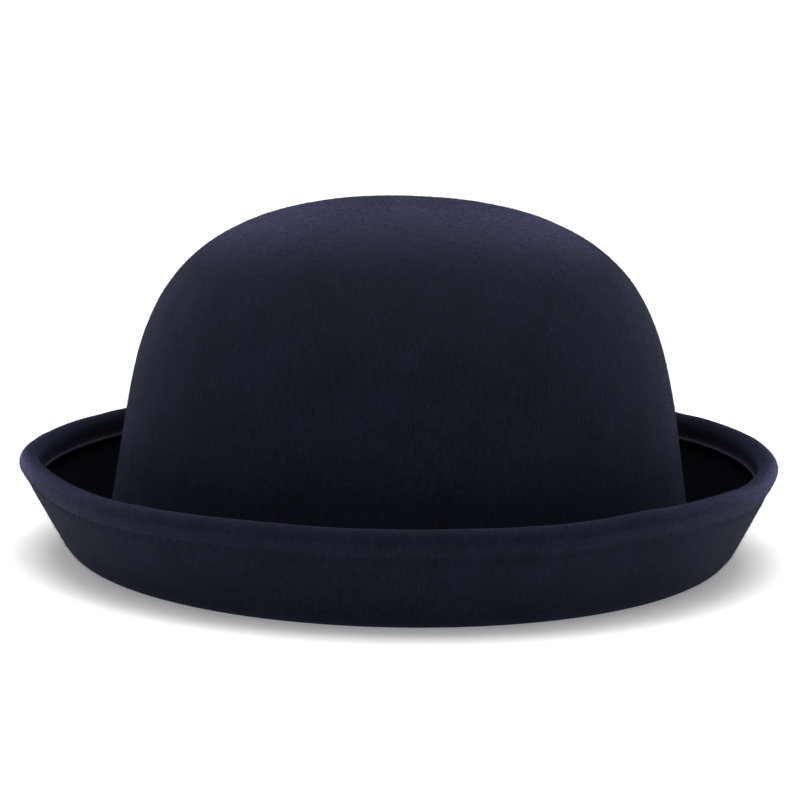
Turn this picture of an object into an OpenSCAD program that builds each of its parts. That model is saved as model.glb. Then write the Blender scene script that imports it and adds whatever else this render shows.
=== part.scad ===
// Roll-brim bowler hat in blocked wool felt, size 57.
// Row frame: +Z up, front of the hat towards -Y, origin on the table under the centre of the crown.

/* [Head size] */
// Inside circumference at the sweatband's upper edge
head_circumference = 570; // [540:5:600]
// Length of the head oval over its width
head_ratio = 1.185; // [1.1:0.005:1.25]

/* [Felt] */
// Thickness of the felt
felt_t = 2.2; // [1.8:0.1:2.6]

/* [Crown] */
// Height of the crown's top above the table
hat_h = 107.8; // [95:0.1:125]
// Share of the width that the wall loses on its way up
crown_taper = 0.12; // [0.06:0.01:0.14]
// Share of the width that the wall loses besides in the curve of its foot
crown_foot = 0.03; // [0:0.005:0.04]
// Height of the foot's curve
foot_h = 40; // [20:1:50]
// Squareness of the shoulder, up the wall
shoulder_z = 5.2; // [4:0.1:6]
// Squareness of the shoulder, across the top
shoulder_r = 2.33; // [2:0.01:3]

/* [Brim] */
// Radius of the break between crown and brim
break_r = 2.5; // [2:0.1:5]
// Width of the flat band that the hat rests on
rest_w = 1; // [0.5:0.5:4]
// Radius of the roll, on its gutter side
roll_r = 8.8; // [7:0.1:16]
// Slope of the rolled brim above level
roll_angle = 61; // [50:1:70]
// Length of the straight stretch above the roll
brim_rise = 24.3; // [18:0.1:28]
// Depth of the turned-in hem, from the fold to the cut edge
hem_depth = 8.6; // [8:0.1:12]
// Distance of the hem stitching from the fold
hem_stitch_depth = 7.4; // [6.8:0.1:7.4]

/* [Brim wire] */
// Diameter of the steel core
core_d = 1; // [0.8:0.1:1]
// Diameter over the cotton wrap
wrap_d = 1.4; // [1.2:0.1:1.4]
// Length of the sleeve that joins the wire's ends
joiner_l = 20; // [15:1:25]

/* [Sweatband] */
// Width of the grosgrain ribbon
band_w = 26; // [20:1:32]
// Thickness of the ribbon
band_t = 0.5; // [0.4:0.1:0.8]
// Height of the ribbon's lower edge above the table
band_z = 2.6; // [2.4:0.1:4]
// Overlap of the ribbon's ends at the back
band_lap = 14; // [10:1:16]

/* [Stitches] */
// Pitch of the machine stitches
stitch_pitch = 3.5; // [3:0.25:4.5]
// Length of thread that shows in each stitch
stitch_l = 2.5; // [2:0.1:2.8]
// Thickness of the sewing thread
thread_d = 0.45; // [0.3:0.05:0.5]

/* [Labels] */
// Width of the care label
care_w = 28; // [20:1:32]
// Height of the care label
care_h = 15; // [10:1:16]
// Width of the size label
size_w = 15; // [10:1:18]
// Height of the size label
size_h = 10; // [8:1:14]
// Thickness of a label
label_t = 0.3; // [0.2:0.05:0.4]

/* [Hidden] */

// Steps round the oval, and the angle of one step
steps = 72;
step_a = 360 / steps;
// Room between pieces that lie against each other, and between a thread and its surface
gap = 0.3;
thread_gap = 0.1;
// Angle of the hat's back, where the ribbon and the wire are joined
back = 90;

// ---- Section of the hat ----
// A section point is [u, d, z]: the share of the base oval, the distance outside it, and the height.
// The base oval is the crown's outer face at the break.

break_z = felt_t + break_r;
tunnel_r = wrap_d / 2 + thread_gap;
fold_r = tunnel_r + felt_t;

// Crown: q is the share of the wall's height, 0 at the break and 1 at the top
wall_h = hat_h - break_z;
function foot_loss(q) = crown_foot * (1 - exp(-q * wall_h / foot_h));
function crown_u(q) =
  (1 - crown_taper * q - foot_loss(q)) * pow(max(1 - pow(q, shoulder_z), 0), 1 / shoulder_r);
function crown_q(z) = max((z - break_z) / wall_h, 0);

// Half axes of the head oval, and of the base oval that leaves it room at the ribbon's upper edge
head_a = head_circumference / (2 * PI * sqrt((1 + head_ratio * head_ratio) / 2));
band_wall = band_t + gap + felt_t;
band_u = crown_u(crown_q(band_z + band_w));
base_a = (head_a + band_wall) / band_u;
base_b = (head_a * head_ratio + band_wall) / band_u;
base_mean = (base_a + base_b) / 2;

// Rows of points up the crown, drawn closer towards the top
crown_rows = 15;
row_spread = 1.25;
function row_q(i) = pow(sin(90 * pow(i / crown_rows, row_spread)), 2 / shoulder_z);
crown_face = [for (i = [crown_rows : -1 : 1]) [crown_u(row_q(i)), 0, break_z + row_q(i) * wall_h]];

function arc(c, r, from, to, n) =
  [for (i = [0 : n]) let (a = from + (to - from) * i / n) [1, c[0] + r * cos(a), c[1] + r * sin(a)]];

// Brim: break, flat band, roll and straight rise, then the fold round the wire's tunnel
along = [cos(roll_angle), sin(roll_angle)];
across = [-sin(roll_angle), cos(roll_angle)];
break_c = [break_r, break_z];
roll_c = [break_r + rest_w, felt_t + roll_r];
tunnel_c = roll_c - roll_r * across + brim_rise * along + tunnel_r * across;

// Hem: closes from the tunnel's width to a narrow slot at the stitching
slot = 0.2;
close_l = hem_stitch_depth - fold_r;
hem_l = hem_depth - fold_r;
function ease(x) = let (c = min(max(x, 0), 1)) c * c * (3 - 2 * c);
function hem_gap(s) = slot + (2 * tunnel_r - slot) * (1 - ease(s / close_l));
function hem_point(s, t) =
  let (p = tunnel_c - s * along + (hem_gap(s) - tunnel_r + t) * across) [1, p[0], p[1]];

function flat_point(p) = [base_mean * p[0] + p[1], p[2]];
function turned(v) = [-v[1], v[0]];
// Outward normal of the crown's face at row i
function crown_normal(i) =
  let (v = flat_point(crown_face[min(i + 1, crown_rows - 1)]) - flat_point(crown_face[max(i - 1, 0)]))
  i == 0 ? [0, 1] : turned(v) / norm(v);
function crown_sunk(i, t) =
  let (n = crown_normal(i), p = crown_face[i]) [p[0], p[1] - t * n[0], p[2] - t * n[1]];

// The felt's face at depth t, from the top of the crown to the hem's cut edge
break_steps = 4;
roll_steps = 5;
fold_steps = 6;
close_steps = 3;
function felt_skin(t) = concat(
  [for (i = [0 : crown_rows - 1]) crown_sunk(i, t)],
  arc(break_c, break_r + t, 180, 270, break_steps),
  arc(roll_c, roll_r + t, 270, 270 + roll_angle, roll_steps),
  arc(tunnel_c, tunnel_r + t, roll_angle - 90, roll_angle + 90, fold_steps),
  [for (i = [1 : close_steps]) hem_point(close_l * i / close_steps, t)],
  [hem_point(hem_l, t)]
);

// Points on the crown's inner wall at height z, at distance t inside it
function on_wall(z, t) = [crown_u(crown_q(z)), -felt_t - t, z];

// ---- Places round the oval ----

function oval_point(p, a) =
  [(base_a * p[0] + p[1]) * cos(a), (base_b * p[0] + p[1]) * sin(a), p[2]];
// The same on the flat sides of the stepped oval, so that gaps stay even
function side_point(p, a) =
  let (i = floor(a / step_a), f = a / step_a - i)
  (1 - f) * oval_point(p, i * step_a) + f * oval_point(p, (i + 1) * step_a);
// Length of the oval through section point p for one degree at angle a
function oval_rate(p, a) =
  PI / 180 * norm([(base_a * p[0] + p[1]) * sin(a), (base_b * p[0] + p[1]) * cos(a)]);
// Table of [length from angle 0, angle] round the oval through section point p
function oval_table(p) =
  [for (i = 0, s = 0; i <= 360; s = s + oval_rate(p, i + 0.5), i = i + 1) [s, i]];
// Angles from one to another, with each step of the oval between them
function span(from, to) = concat(
  [from],
  [for (k = [floor(from / step_a) + 1 : ceil(to / step_a) - 1]) k * step_a],
  [to]
);

// ---- General solids ----

// Quads between rows of points: each row is a closed loop of n points
function loop_faces(rows, n, first) = [
  for (i = [0 : rows - 2]) for (j = [0 : n - 1])
    let (a = first + i * n, k = (j + 1) % n)
    [a + j, a + k, a + n + k, a + n + j]
];
function flipped(faces) = [for (f = faces) [for (i = [len(f) - 1 : -1 : 0]) f[i]]];

// A bar swept along loops of points, with a flat cap at each end
module bar(loops) {
  n = len(loops[0]);
  rows = len(loops);
  points = [for (l = loops) each l];
  caps = [[for (j = [n - 1 : -1 : 0]) j], [for (j = [0 : n - 1]) (rows - 1) * n + j]];
  polyhedron(points, concat(loop_faces(rows, n, 0), caps), convexity = 10);
}

// A tube swept along matching outer and inner loops, open at both ends
module tube(outer, inner) {
  n = len(outer[0]);
  rows = len(outer);
  points = [for (l = concat(outer, inner)) each l];
  bore = rows * n;
  end = bore - n;
  faces = concat(
    loop_faces(rows, n, 0),
    flipped(loop_faces(rows, n, bore)),
    [for (j = [0 : n - 1]) let (k = (j + 1) % n) [k, j, bore + j, bore + k]],
    [for (j = [0 : n - 1]) let (k = (j + 1) % n) [end + j, end + k, bore + end + k, bore + end + j]]
  );
  polyhedron(points, faces, convexity = 10);
}

// Loops of n points, of radius r, round the wire's line at the given angles
function wire_loops(r, n, angles) = [
  for (a = angles) [
    for (j = [0 : n - 1])
      side_point([1, tunnel_c[0] + r * cos(360 * j / n), tunnel_c[1] + r * sin(360 * j / n)], a)
  ]
];

// Loops of a flat strip on the inner wall, through the given heights: each place is an angle
// with the strip's distance inside the wall there
function wall_loops(heights, t, places) = [
  for (p = places) concat(
    [for (z = heights) side_point(on_wall(z, p[1]), p[0])],
    [for (i = [len(heights) - 1 : -1 : 0]) side_point(on_wall(heights[i], p[1] + t), p[0])]
  )
];

// One stitch: a straight piece of thread with its middle at m, lying along v
thread_sides = 16;
module stitch(m, v) {
  translate(m) rotate([0, acos(v[2] / norm(v)), atan2(v[1], v[0])])
    cylinder(h = stitch_l, d = thread_d, center = true, $fn = thread_sides);
}
// A stitch along the oval through section point p, at angle a
module stitch_along(p, a) {
  stitch(side_point(p, a), [-(base_a * p[0] + p[1]) * sin(a), (base_b * p[0] + p[1]) * cos(a), 0]);
}

// Angles of the machine stitches all round the oval through section point p
function stitch_angles(p) =
  let (table = oval_table(p), total = table[360][0], count = round(total / stitch_pitch))
  [for (i = [0 : count - 1]) lookup((i + 0.5) * total / count, table)];
module stitch_round(p) {
  for (a = stitch_angles(p)) stitch_along(p, a);
}

// A row of stitches up the inner wall at angle a, centred in height h above z, at distance t inside
module stitch_up(a, z, h, t) {
  count = floor(h / stitch_pitch);
  for (i = [0 : count - 1]) {
    low_z = z + h / 2 + (i - count / 2) * stitch_pitch;
    low = side_point(on_wall(low_z, t), a);
    high = side_point(on_wall(low_z + stitch_pitch, t), a);
    stitch((low + high) / 2, high - low);
  }
}

// ---- Felt ----

// Crown and brim, blocked in one from a felt cone, with the brim's edge turned in round the wire
module felt_body() {
  outer = felt_skin(0);
  inner = felt_skin(felt_t);
  rows = len(outer) - 1;
  section = concat([for (i = [1 : rows]) outer[i]], [for (i = [rows : -1 : 1]) inner[i]]);
  n = len(section);
  points = [for (i = [0 : steps - 1]) for (p = section) oval_point(p, i * step_a)];
  top = len(points);
  skin = [
    for (i = [0 : steps - 1]) for (j = [0 : n - 2])
      let (a = i * n, b = ((i + 1) % steps) * n)
      [a + j, b + j, b + j + 1, a + j + 1]
  ];
  poles = [
    for (i = [0 : steps - 1])
      let (a = i * n, b = ((i + 1) % steps) * n)
      each [[top, b, a], [top + 1, a + n - 1, b + n - 1]]
  ];
  tops = [[0, 0, hat_h], [0, 0, hat_h - felt_t]];
  color("midnightblue") polyhedron(concat(points, tops), concat(skin, poles), convexity = 12);
}

// ---- Brim wire ----

wire_sides = 8;
joiner_sides = 16;
joiner_half = joiner_l / 2 / oval_rate([1, tunnel_c[0], tunnel_c[1]], back);
// Room between the core and the cotton, the felt and the sleeve, and the sleeve and the core
wrap_room = 0.02;
sleeve_room = 0.04;
crimp_room = 0.05;
// Angle left open between the wire's ends, and between the cotton's ends and the joiner
end_room = 0.2;

// Steel core: one length of wire whose ends meet inside the joiner
module brim_wire_core() {
  angles = span(back + end_room, back + 360 - end_room);
  color("silver") bar(wire_loops(core_d / 2, wire_sides, angles));
}

// Cotton wound over the core, stripped back for the joiner
module brim_wire_wrap() {
  angles = span(back + joiner_half + end_room, back + 360 - joiner_half - end_room);
  bore_r = core_d / 2 + wrap_room;
  color("dimgray")
    tube(wire_loops(wrap_d / 2, wire_sides, angles), wire_loops(bore_r, wire_sides, angles));
}

// Brass sleeve crimped over the wire's two ends
module wire_joiner() {
  angles = span(back - joiner_half, back + joiner_half);
  sleeve_r = tunnel_r - sleeve_room;
  bore_r = core_d / 2 + crimp_room;
  color("goldenrod")
    tube(wire_loops(sleeve_r, joiner_sides, angles), wire_loops(bore_r, joiner_sides, angles));
}

// ---- Hem stitching ----

lift = thread_d / 2 + thread_gap;
stitch_line = tunnel_c - close_l * along;

// Needle thread of the hem, on the outside of the brim
module hem_needle_stitches() {
  p = stitch_line - (fold_r + lift) * across;
  color("navy") stitch_round([1, p[0], p[1]]);
}

// Bobbin thread of the hem, in the gutter
module hem_bobbin_stitches() {
  color("navy") stitch_round(hem_point(close_l, felt_t + lift));
}

// ---- Sweatband ----

// The ribbon's line at half its height, along which lengths on it are measured
band_line = on_wall(band_z + band_w / 2, gap + band_t);
lap_half = band_lap / 2 / oval_rate(band_line, back);
lap_step = band_t + gap;
// Distance of the ribbon inside the wall: its last end steps in, to lie over its first end
lap_ramp = 3 * step_a;
function ribbon_in(a) = gap + lap_step * ease((a - (back + 360 - lap_half - step_a - lap_ramp)) / lap_ramp);

// Grosgrain ribbon, once round the inside of the crown, its ends lapped at the back
module sweatband() {
  places = [for (a = span(back - lap_half, back + 360 + lap_half)) [a, ribbon_in(a)]];
  heights = [band_z, break_z, band_z + band_w / 2, band_z + band_w];
  color("black") bar(wall_loops(heights, band_t, places));
}

// Angle of the ribbon's last end, and the one turn of angles that ends there
lap_end = back + lap_half;
function turn_angle(a) = a < lap_end ? a + 360 : a;
// Height of the stitching that holds the ribbon at the crown's foot
hold_z = break_z + 1;
// Angle that half a stitch takes, with room to spare
stitch_room = (stitch_l / 2 + gap) / oval_rate(band_line, back);

// Needle thread of the sweatband, on the ribbon's inner face
module sweatband_needle_stitches() {
  color("black")
    for (a = stitch_angles(on_wall(hold_z, gap + band_t)))
      if (abs(a - lap_end) > stitch_room)
        stitch_along(on_wall(hold_z, ribbon_in(turn_angle(a)) + band_t + lift), a);
}

// Bobbin thread of the sweatband, at the foot of the crown in the gutter
module sweatband_bobbin_stitches() {
  color("navy") stitch_round(on_wall(hold_z, -felt_t - lift));
}

// Upright row that closes the ribbon's lap
module sweatband_lap_stitches() {
  a = lap_end - 2 * stitch_room;
  z = hold_z + stitch_l / 2;
  color("black") stitch_up(a, z, band_z + band_w - z, ribbon_in(a + 360) + band_t + lift);
}

// ---- Labels ----

// Distance from the hat's back to each label's nearer edge, along the ribbon
care_from = 20;
size_from = -36;
care_lift = 2;
care_z = hold_z + care_lift;
size_z = band_z + (band_w - size_h) / 2;
label_in = gap + band_t + thread_gap;
band_table = oval_table(band_line);
back_run = lookup(back, [for (row = band_table) [row[1], row[0]]]);
function back_angle(x) = lookup(back_run + x, band_table);

// A blank label lying on the ribbon, from x to x + w along it
module label(x, w, z, h) {
  places = [for (a = span(back_angle(x), back_angle(x + w))) [a, label_in]];
  bar(wall_loops([z, z + h / 2, z + h], label_t, places));
}

// The two rows of stitches that hold a label at its sides
side_margin = 1.2;
module label_sides(x, w, z, h) {
  for (e = [x + side_margin, x + w - side_margin])
    stitch_up(back_angle(e), z, h, label_in + label_t + lift);
}

// Blank woven tab for the hat's size
module size_label() {
  color("lightgray") label(size_from - size_w, size_w, size_z, size_h);
}

// Blank satin label for the care marks
module care_label() {
  color("whitesmoke") label(care_from, care_w, care_z, care_h);
}

// Thread that holds the two labels
module label_stitches() {
  color("black") {
    label_sides(size_from - size_w, size_w, size_z, size_h);
    label_sides(care_from, care_w, care_z, care_h);
  }
}

felt_body();
brim_wire_core();
brim_wire_wrap();
wire_joiner();
hem_needle_stitches();
hem_bobbin_stitches();
sweatband();
sweatband_needle_stitches();
sweatband_bobbin_stitches();
sweatband_lap_stitches();
size_label();
care_label();
label_stitches();
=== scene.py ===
"""Roll-brim bowler hat in navy wool felt: the looks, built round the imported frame.

Every size is in metres and every place is in the frame's own axes: +Z up, the front of the hat
towards -Y and the origin on the table. A line across the hat is an array of section points (u, d, z):
the share of the crown's base oval, the distance outside that oval, and the height.
"""
import logging
import math
from dataclasses import dataclass, field
from enum import Enum
from typing import Any, Callable, Iterable

import bpy
import numpy as np
from mathutils import Matrix, Vector, noise


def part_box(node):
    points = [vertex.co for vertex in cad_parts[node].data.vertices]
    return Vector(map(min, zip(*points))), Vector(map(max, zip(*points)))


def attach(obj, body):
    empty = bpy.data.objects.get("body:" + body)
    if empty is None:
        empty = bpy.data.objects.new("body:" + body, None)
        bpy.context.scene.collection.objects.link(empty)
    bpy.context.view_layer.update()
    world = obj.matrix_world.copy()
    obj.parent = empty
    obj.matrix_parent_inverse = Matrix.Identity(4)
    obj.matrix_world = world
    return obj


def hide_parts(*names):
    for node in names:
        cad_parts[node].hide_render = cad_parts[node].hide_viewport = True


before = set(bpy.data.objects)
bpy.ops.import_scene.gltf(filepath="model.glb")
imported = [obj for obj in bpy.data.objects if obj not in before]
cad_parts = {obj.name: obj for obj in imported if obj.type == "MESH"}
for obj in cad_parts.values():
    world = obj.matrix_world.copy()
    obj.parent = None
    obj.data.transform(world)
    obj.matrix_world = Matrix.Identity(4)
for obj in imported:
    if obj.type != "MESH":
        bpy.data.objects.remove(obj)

MM = 0.001
ONE_BAND = 2 * math.pi / 20  # scale at which Blender's wave texture repeats once per unit
BACK = math.pi / 2
TURN = 2 * math.pi
LOG = logging.getLogger("bowler")


# ---- Small tools ----------------------------------------------------------------------------

def ease(x: np.ndarray | float) -> np.ndarray | float:
    """Smooth step.

    Args:
        x: where on the step, or many such places.

    Returns:
        0 up to x = 0, 1 from x = 1, and a smooth rise between them.
    """
    c = np.clip(x, 0.0, 1.0)
    return c * c * (3 - 2 * c)


def run_along(points: np.ndarray) -> np.ndarray:
    """Measures along a row of points.

    Args:
        points: one row for each point.

    Returns:
        The length from the first point to each of them.
    """
    return np.concatenate([[0], np.cumsum(np.linalg.norm(np.diff(points, axis=0), axis=1))])


def linear(hex_colour: str) -> tuple[float, float, float, float]:
    """Turns an sRGB hex colour into the linear colour that shaders take.

    Args:
        hex_colour: six hex digits after a hash.

    Returns:
        Linear red, green and blue, and an alpha of 1.
    """
    parts = [int(hex_colour[i:i + 2], 16) / 255 for i in (1, 3, 5)]
    rgb = [c / 12.92 if c <= 0.04045 else ((c + 0.055) / 1.055) ** 2.4 for c in parts]
    return rgb[0], rgb[1], rgb[2], 1.0


def socket(sockets: Iterable[bpy.types.NodeSocket], key: str | int) -> bpy.types.NodeSocket:
    """Finds a socket by its place or by its name among those in use.

    Args:
        sockets: a node's inputs or outputs.
        key: the socket's index, or its name.

    Returns:
        The socket.
    """
    if isinstance(key, int):
        return sockets[key]
    return next(s for s in sockets if s.name == key and s.enabled)


def add(tree: bpy.types.NodeTree, kind: str, inputs: dict | None = None, **settings: Any
        ) -> bpy.types.Node:
    """Adds a node with its settings and with what goes into it.

    Args:
        tree: the tree that gets the node.
        kind: Blender's name for the node's type.
        inputs: socket name or index to a value, an output socket, or a node, which stands for its
            first output in use.
        settings: the node's own properties.

    Returns:
        The new node.
    """
    node = tree.nodes.new(kind)
    for name, value in settings.items():
        setattr(node, name, value)
    for key, value in (inputs or {}).items():
        target = socket(node.inputs, key)
        if isinstance(value, bpy.types.Node):
            value = next(s for s in value.outputs if s.enabled)
        if isinstance(value, bpy.types.NodeSocket):
            tree.links.new(value, target)
        else:
            target.default_value = value
    return node


def linked(name: str, data: bpy.types.ID) -> bpy.types.Object:
    """Makes an object and links it to the scene.

    Args:
        name: the object's name.
        data: its mesh, camera or light.

    Returns:
        The object.
    """
    thing = bpy.data.objects.new(name, data)
    bpy.context.scene.collection.objects.link(thing)
    return thing


def mesh_object(name: str, points: np.ndarray, faces: list, uv: np.ndarray | None = None,
                smooth: bool = True) -> bpy.types.Object:
    """Makes an object from points and faces, in the frame's own place.

    Args:
        name: the piece's name.
        points: one row of x, y, z for each vertex.
        faces: vertex numbers, counter-clockwise seen from outside.
        uv: one row of u, v in metres for each face corner, in the faces' order.
        smooth: whether faces are shaded smooth.

    Returns:
        The object, linked to the scene.
    """
    mesh = bpy.data.meshes.new(name)
    mesh.from_pydata(np.asarray(points).tolist(), [], faces)
    if uv is not None:
        layer = mesh.uv_layers.new(name="cloth")
        layer.data.foreach_set("uv", np.asarray(uv, dtype=np.float32).ravel())
    mesh.polygons.foreach_set("use_smooth", [smooth] * len(mesh.polygons))
    mesh.validate()
    return linked(name, mesh)


def report(piece: bpy.types.Object) -> None:
    """Logs a piece's name, size and number of faces."""
    size = " x ".join(f"{s / MM:.1f}" for s in piece.dimensions)
    LOG.info("%s: %s mm, %d faces", piece.name, size, len(piece.data.polygons))


def point_attribute(piece: bpy.types.Object, name: str, values: np.ndarray) -> None:
    """Stores a number or a vector for each vertex of a piece.

    Args:
        piece: the object.
        name: the attribute's name.
        values: one value, or one row of three, for each vertex.
    """
    values = np.asarray(values, dtype=np.float32)
    vector = values.ndim == 2
    layer = piece.data.attributes.new(name, "FLOAT_VECTOR" if vector else "FLOAT", "POINT")
    layer.data.foreach_set("vector" if vector else "value", values.ravel())


def grown(piece: bpy.types.Object, tree: bpy.types.NodeTree, values: dict[str, Any]) -> bpy.types.Object:
    """Runs a Geometry Nodes tree on a piece and keeps the result as its plain mesh.

    Args:
        piece: the object that the tree starts from.
        tree: the tree.
        values: the tree's input names and what each is set to.

    Returns:
        The same object, with the new mesh and no modifier.
    """
    modifier = piece.modifiers.new("grow", "NODES")
    modifier.node_group = tree
    names = {s.name: s.identifier for s in tree.interface.items_tree if s.in_out == "INPUT"}
    for name, value in values.items():
        modifier[names[name]] = value
    graph = bpy.context.evaluated_depsgraph_get()
    mesh = bpy.data.meshes.new_from_object(piece.evaluated_get(graph), depsgraph=graph)
    mesh.name = piece.name
    piece.modifiers.remove(modifier)
    seed = piece.data
    piece.data = mesh
    bpy.data.meshes.remove(seed)
    return piece


def new_tree(name: str, inputs: dict[str, tuple[str, Any]]) -> tuple[bpy.types.NodeTree, bpy.types.Node]:
    """Starts a Geometry Nodes tree.

    Args:
        name: the tree's name.
        inputs: name to (socket type, default value) for each size that the tree takes.

    Returns:
        The tree and its group input node.
    """
    tree = bpy.data.node_groups.new(name, "GeometryNodeTree")
    tree.interface.new_socket("Geometry", in_out="INPUT", socket_type="NodeSocketGeometry")
    for key, (kind, default) in inputs.items():
        entry = tree.interface.new_socket(key, in_out="INPUT", socket_type=kind)
        if default is not None:
            entry.default_value = default
    tree.interface.new_socket("Geometry", in_out="OUTPUT", socket_type="NodeSocketGeometry")
    return tree, add(tree, "NodeGroupInput")


def close_tree(tree: bpy.types.NodeTree, geometry: bpy.types.Node,
               material: bpy.types.NodeSocket) -> None:
    """Ends a tree: instances made real, material set, geometry out.

    Args:
        tree: the tree.
        geometry: the node whose first output is the result.
        material: the socket that holds the material.
    """
    real = add(tree, "GeometryNodeRealizeInstances", {"Geometry": geometry})
    dressed = add(tree, "GeometryNodeSetMaterial", {"Geometry": real, "Material": material})
    add(tree, "NodeGroupOutput", {"Geometry": dressed})


# ---- Shape ----------------------------------------------------------------------------------

@dataclass(frozen=True)
class Kink:
    """A local dent or bump in the brim's edge, left by handling.

    angle is where it lies round the oval, width how far it spreads, rise and push how much it
    lifts the edge and moves it outwards.
    """

    angle: float
    width: float
    rise: float
    push: float


@dataclass(frozen=True)
class HatShape:
    """The blocked shape of the hat, as the frame has it, in metres and radians.

    The crown's wall leans in by its taper, draws in a little more above its foot and rounds over by
    the two shoulder powers. The break is the inner bend at the crown's foot. From there the brim
    lies flat for rest_w, rolls up round roll_r to roll_angle, runs straight on for brim_rise and
    folds round the wire's tunnel into the hem, which narrows to a slot at its stitches. The waves
    and the kinks are what handling has left in the brim's edge: above loose_z it is free to stray.
    Names that end in rows are numbers of points along each stretch of the section.
    """

    base_a: float
    base_b: float
    height: float
    felt: float = 2.2 * MM
    taper: float = 0.12
    foot: float = 0.03
    foot_h: float = 40 * MM
    shoulder_z: float = 5.2
    shoulder_r: float = 2.33
    break_r: float = 2.5 * MM
    rest_w: float = 1 * MM
    roll_r: float = 8.8 * MM
    roll_angle: float = math.radians(61)
    brim_rise: float = 24.3 * MM
    tunnel_r: float = 0.8 * MM
    hem_depth: float = 8.6 * MM
    stitch_depth: float = 7.4 * MM
    slot: float = 0.2 * MM
    break_rows: int = 8
    rest_rows: int = 2
    roll_rows: int = 12
    rise_rows: int = 26
    fold_rows: int = 14
    hem_rows: int = 11
    up_waves: tuple[tuple[int, float, float], ...] = (
        (1, 1.0 * MM, BACK), (2, 0.12 * MM, -BACK), (3, 0.16 * MM, 2.1), (5, 0.14 * MM, 5.0),
        (9, 0.08 * MM, 1.2), (14, 0.05 * MM, 3.3))
    out_waves: tuple[tuple[int, float, float], ...] = (
        (2, 0.15 * MM, 1.0), (3, 0.12 * MM, 4.8), (5, 0.1 * MM, 0.6), (11, 0.05 * MM, 2.0))
    loose_z: float = 5 * MM
    loose_h: float = 22 * MM
    kinks: tuple[Kink, ...] = (
        Kink(math.radians(195), 30 * MM, 1.8 * MM, 0.4 * MM),
        Kink(math.radians(182), 22 * MM, 0.0, 0.5 * MM),
        Kink(math.radians(-24), 12 * MM, -0.7 * MM, 0.0),
        Kink(math.radians(-52), 12 * MM, 0.7 * MM, 0.0),
        Kink(math.radians(36), 6 * MM, -0.4 * MM, 0.0))

    @classmethod
    def from_frame(cls, node: str) -> "HatShape":
        """Sizes the base oval and the crown's height to the box of the felt in the frame."""
        low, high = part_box(node)
        plain = cls(base_a=0.0, base_b=0.0, height=high[2])
        reach = plain.tunnel_centre[0] + plain.fold_r
        return cls(base_a=high[0] - reach, base_b=high[1] - reach, height=high[2])

    @property
    def base_mean(self) -> float:
        """Mean of the base oval's two half axes."""
        return (self.base_a + self.base_b) / 2

    @property
    def break_z(self) -> float:
        """Height at which the crown's outer wall ends in the break."""
        return self.felt + self.break_r

    @property
    def fold_r(self) -> float:
        """Outer radius of the fold round the wire."""
        return self.tunnel_r + self.felt

    @property
    def along(self) -> np.ndarray:
        """Direction up the rolled brim, in the section plane."""
        return np.array([math.cos(self.roll_angle), math.sin(self.roll_angle)])

    @property
    def across(self) -> np.ndarray:
        """Direction square to the rolled brim, towards the gutter."""
        return np.array([-math.sin(self.roll_angle), math.cos(self.roll_angle)])

    @property
    def roll_centre(self) -> np.ndarray:
        """Centre of the roll's arc in the section plane."""
        return np.array([self.break_r + self.rest_w, self.felt + self.roll_r])

    @property
    def tunnel_centre(self) -> np.ndarray:
        """Where the wire runs, in the section plane."""
        roll_end = self.roll_centre - self.roll_r * self.across
        return roll_end + self.brim_rise * self.along + self.tunnel_r * self.across

    def crown_u(self, q: np.ndarray) -> np.ndarray:
        """Share of the base oval at share q of the wall's height."""
        foot = self.foot * (1 - np.exp(-q * (self.height - self.break_z) / self.foot_h))
        shoulder = np.maximum(1 - q ** self.shoulder_z, 0) ** (1 / self.shoulder_r)
        return (1 - self.taper * q - foot) * shoulder

    def hem_point(self, s: np.ndarray, depth: float) -> np.ndarray:
        """Section points of the turned-in hem.

        Args:
            s: distances down from the wire.
            depth: distance from the hem's inner face.

        Returns:
            One row (u, d, z) for each distance.
        """
        close = self.stitch_depth - self.fold_r
        gap = self.slot + (2 * self.tunnel_r - self.slot) * (1 - ease(s / close))
        down, in_from_wire = np.outer(s, self.along), np.outer(gap - self.tunnel_r + depth, self.across)
        return np.column_stack([np.ones(len(s)), self.tunnel_centre - down + in_from_wire])

    def crown_line(self, depth: float, spacing: float) -> np.ndarray:
        """Section points down the crown from its top to the break, evenly spaced.

        Args:
            depth: distance from the outer face.
            spacing: distance between points.

        Returns:
            One row (u, d, z) for each point, the top point first.
        """
        f = np.linspace(math.pi / 2, 0, 4001)
        q = np.sin(f) ** (2 / self.shoulder_z)
        u, z = self.crown_u(q), self.break_z + q * (self.height - self.break_z)
        run = run_along(np.column_stack([u * self.base_mean, z]))
        at = np.linspace(0, run[-1], round(run[-1] / spacing) + 1)
        u, z = np.interp(at, run, u), np.interp(at, run, z)
        step_r, step_z = np.gradient(u * self.base_mean), np.gradient(z)
        size = np.hypot(step_r, step_z)
        out_r, out_z = -step_z / size, step_r / size
        out_r[0], out_z[0] = 0, 1
        out_r[-1], out_z[-1] = 1, 0
        return np.column_stack([u, -depth * out_r, z - depth * out_z])[:-1]

    def arc(self, centre: np.ndarray, radius: float, start: float, end: float, count: int) -> np.ndarray:
        """Section points round an arc of the brim, without the last one.

        Args:
            centre: the arc's centre, as (d, z).
            radius: its radius.
            start: where it starts, in degrees.
            end: where it ends, in degrees.
            count: number of points.

        Returns:
            One row (u, d, z) for each point.
        """
        a = np.radians(np.linspace(start, end, count + 1))[:-1]
        return np.column_stack(
            [np.ones(count), centre[0] + radius * np.cos(a), centre[1] + radius * np.sin(a)])

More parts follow.
